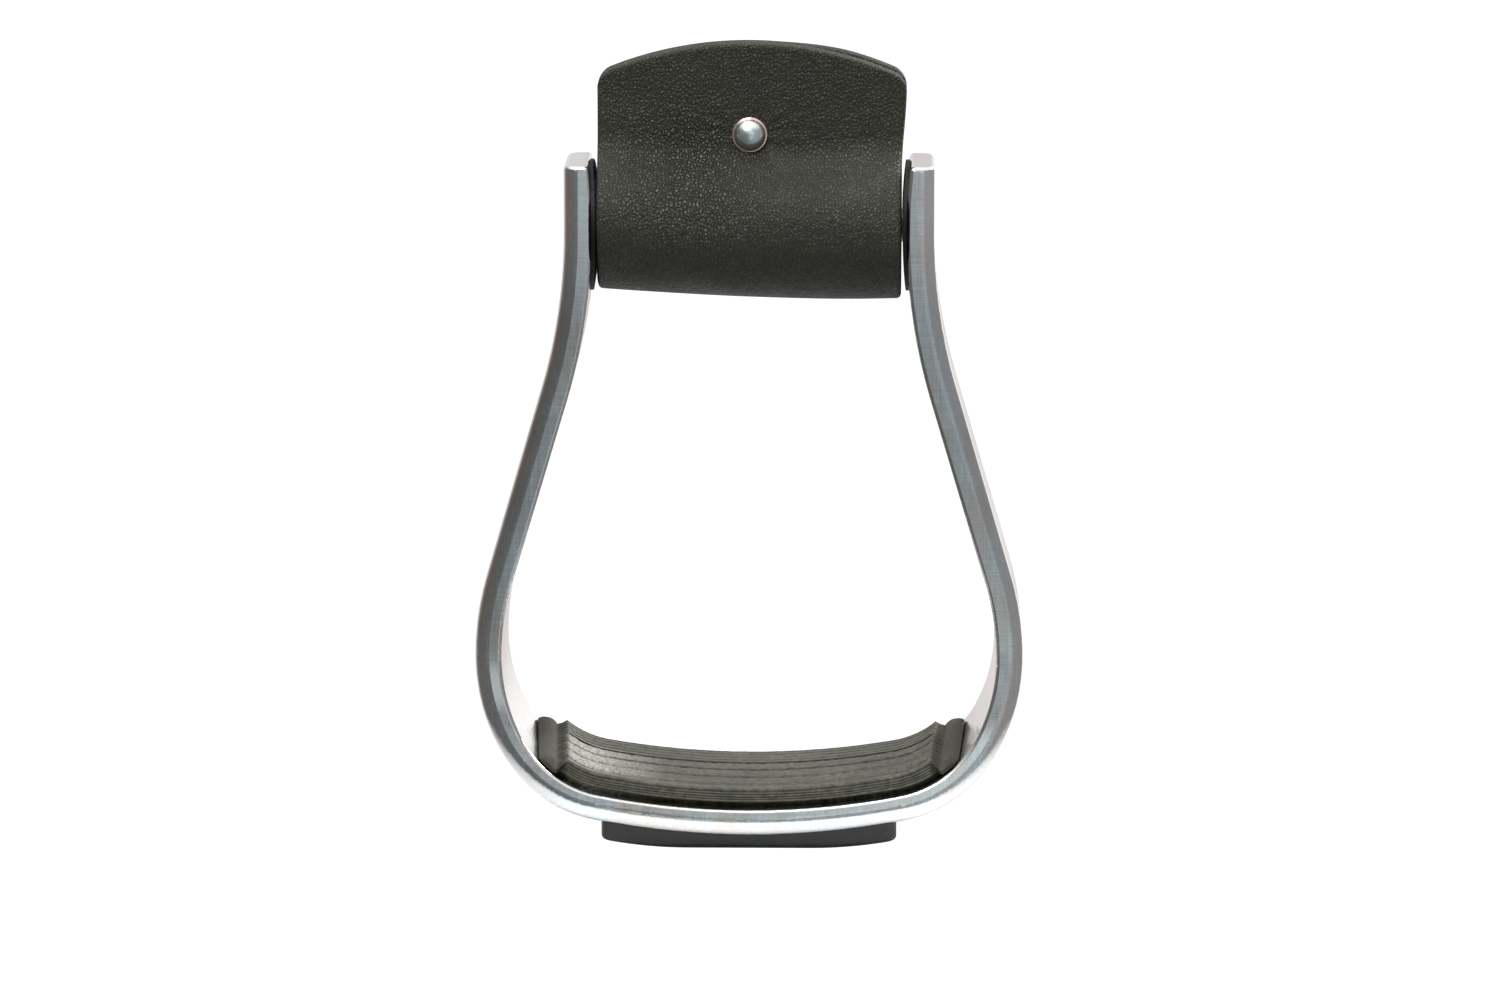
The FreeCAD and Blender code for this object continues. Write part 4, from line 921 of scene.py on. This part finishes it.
def build_floor():
    """A round sheet just under the stirrup, with one face that looks up."""
    turns = [2 * math.pi * i / FLOOR_SIDES for i in range(FLOOR_SIDES)]
    rim = [(FLOOR_RADIUS * math.cos(turn), FLOOR_RADIUS * math.sin(turn), -FLOOR_DOWN) for turn in turns]
    mesh = bpy.data.meshes.new("floor")
    mesh.from_pydata(rim, [], [tuple(range(FLOOR_SIDES))])
    mesh.materials.append(floor_material())
    floor = bpy.data.objects.new("floor", mesh)
    bpy.context.scene.collection.objects.link(floor)


def build_world():
    """A studio: bright behind and overhead, dim elsewhere, a lit right wall, and cards in front."""
    world = bpy.data.worlds.new("studio")
    bpy.context.scene.world = world
    world.use_nodes = True
    made = Nodes(world.node_tree)
    side, back, up = made.axes(made.node("ShaderNodeTexCoord").outputs["Generated"])
    walls = made.node("ShaderNodeValToRGB", {"Fac": made.ramp(back, -1.0, 1.0)})
    walls.color_ramp.interpolation = "EASE"
    for i, (spot, tint) in enumerate(STUDIO):
        stop = walls.color_ramp.elements[i] if i < 2 else walls.color_ramp.elements.new(spot)
        stop.position = spot
        stop.color = (*tint, 1)
    around = made.colours(made.ramp(side, *WALL_SIDE), walls.outputs["Color"], RIGHT_WALL)
    glow = made.times(made.ramp(side, *GLOW_SIDE), made.ramp(back, *GLOW_BACK))
    around = made.colours(glow, around, RIGHT_GLOW)

    # The card at the height of the eye.
    to_front = made.ramp(back, *CARDS_FRONT)
    level = made.times(made.ramp(up, *EYE_CARD_BOTTOM), made.ramp(up, *EYE_CARD_TOP))
    narrow = made.times(made.ramp(side, *EYE_CARD_LEFT),
                        made.ramp(side, *EYE_CARD_RIGHT, 1.0, EYE_CARD_RIGHT_SHARE))
    eye_card = made.times(made.times(level, narrow), to_front)
    around = made.colours(eye_card, around, EYE_CARD)

    # The card above it, which comes back fainter below it and to the left.
    high = made.most(made.ramp(up, *HIGH_CARD_ABOVE),
                     made.ramp(up, *HIGH_CARD_BELOW, 0.0, HIGH_CARD_BELOW_SHARE))
    to_right = made.ramp(side, *HIGH_CARD_SIDE, HIGH_CARD_LEFT_SHARE, 1.0)
    high_card = made.times(made.times(high, to_right), to_front)
    around = made.colours(high_card, around, HIGH_CARD)

    lit = made.colours(made.ramp(up, *OVERHEAD_UP), around, OVERHEAD)
    seen = made.node("ShaderNodeLightPath").outputs["Is Camera Ray"]
    made.link(made.colours(seen, lit, BACKGROUND), world.node_tree.nodes["Background"].inputs["Color"])


def add_lamp(name, place, size, power):
    """A rectangular lamp that points at the stirrup."""
    light = bpy.data.lights.new(name, "AREA")
    light.shape = "RECTANGLE"
    light.size, light.size_y = size
    light.energy = power
    lamp = bpy.data.objects.new(name, light)
    bpy.context.scene.collection.objects.link(lamp)
    lamp.location = place
    lamp.rotation_mode = "QUATERNION"
    lamp.rotation_quaternion = (LOOK_AT - Vector(place)).to_track_quat("-Z", "Y")


def build_camera():
    """The photo's view: from the front, a little above and a little to the right."""
    camera = bpy.data.objects.new("camera", bpy.data.cameras.new("camera"))
    bpy.context.scene.collection.objects.link(camera)
    camera.data.lens = LENS
    flat = math.cos(VIEW_ABOVE)
    back = Vector((math.sin(VIEW_ASIDE) * flat, -math.cos(VIEW_ASIDE) * flat, math.sin(VIEW_ABOVE)))
    camera.location = LOOK_AT + back * VIEW_FAR
    camera.rotation_mode = "QUATERNION"
    camera.rotation_quaternion = (-back).to_track_quat("-Z", "Y")
    bpy.context.scene.camera = camera


dress_cad_nodes()
wrap, wrap_length = build_wrap()
build_rivet()
build_tread()
build_floor()
build_world()
for lamp in LAMPS:
    add_lamp(*lamp)
build_camera()
bpy.context.scene.view_settings.view_transform = "Standard"
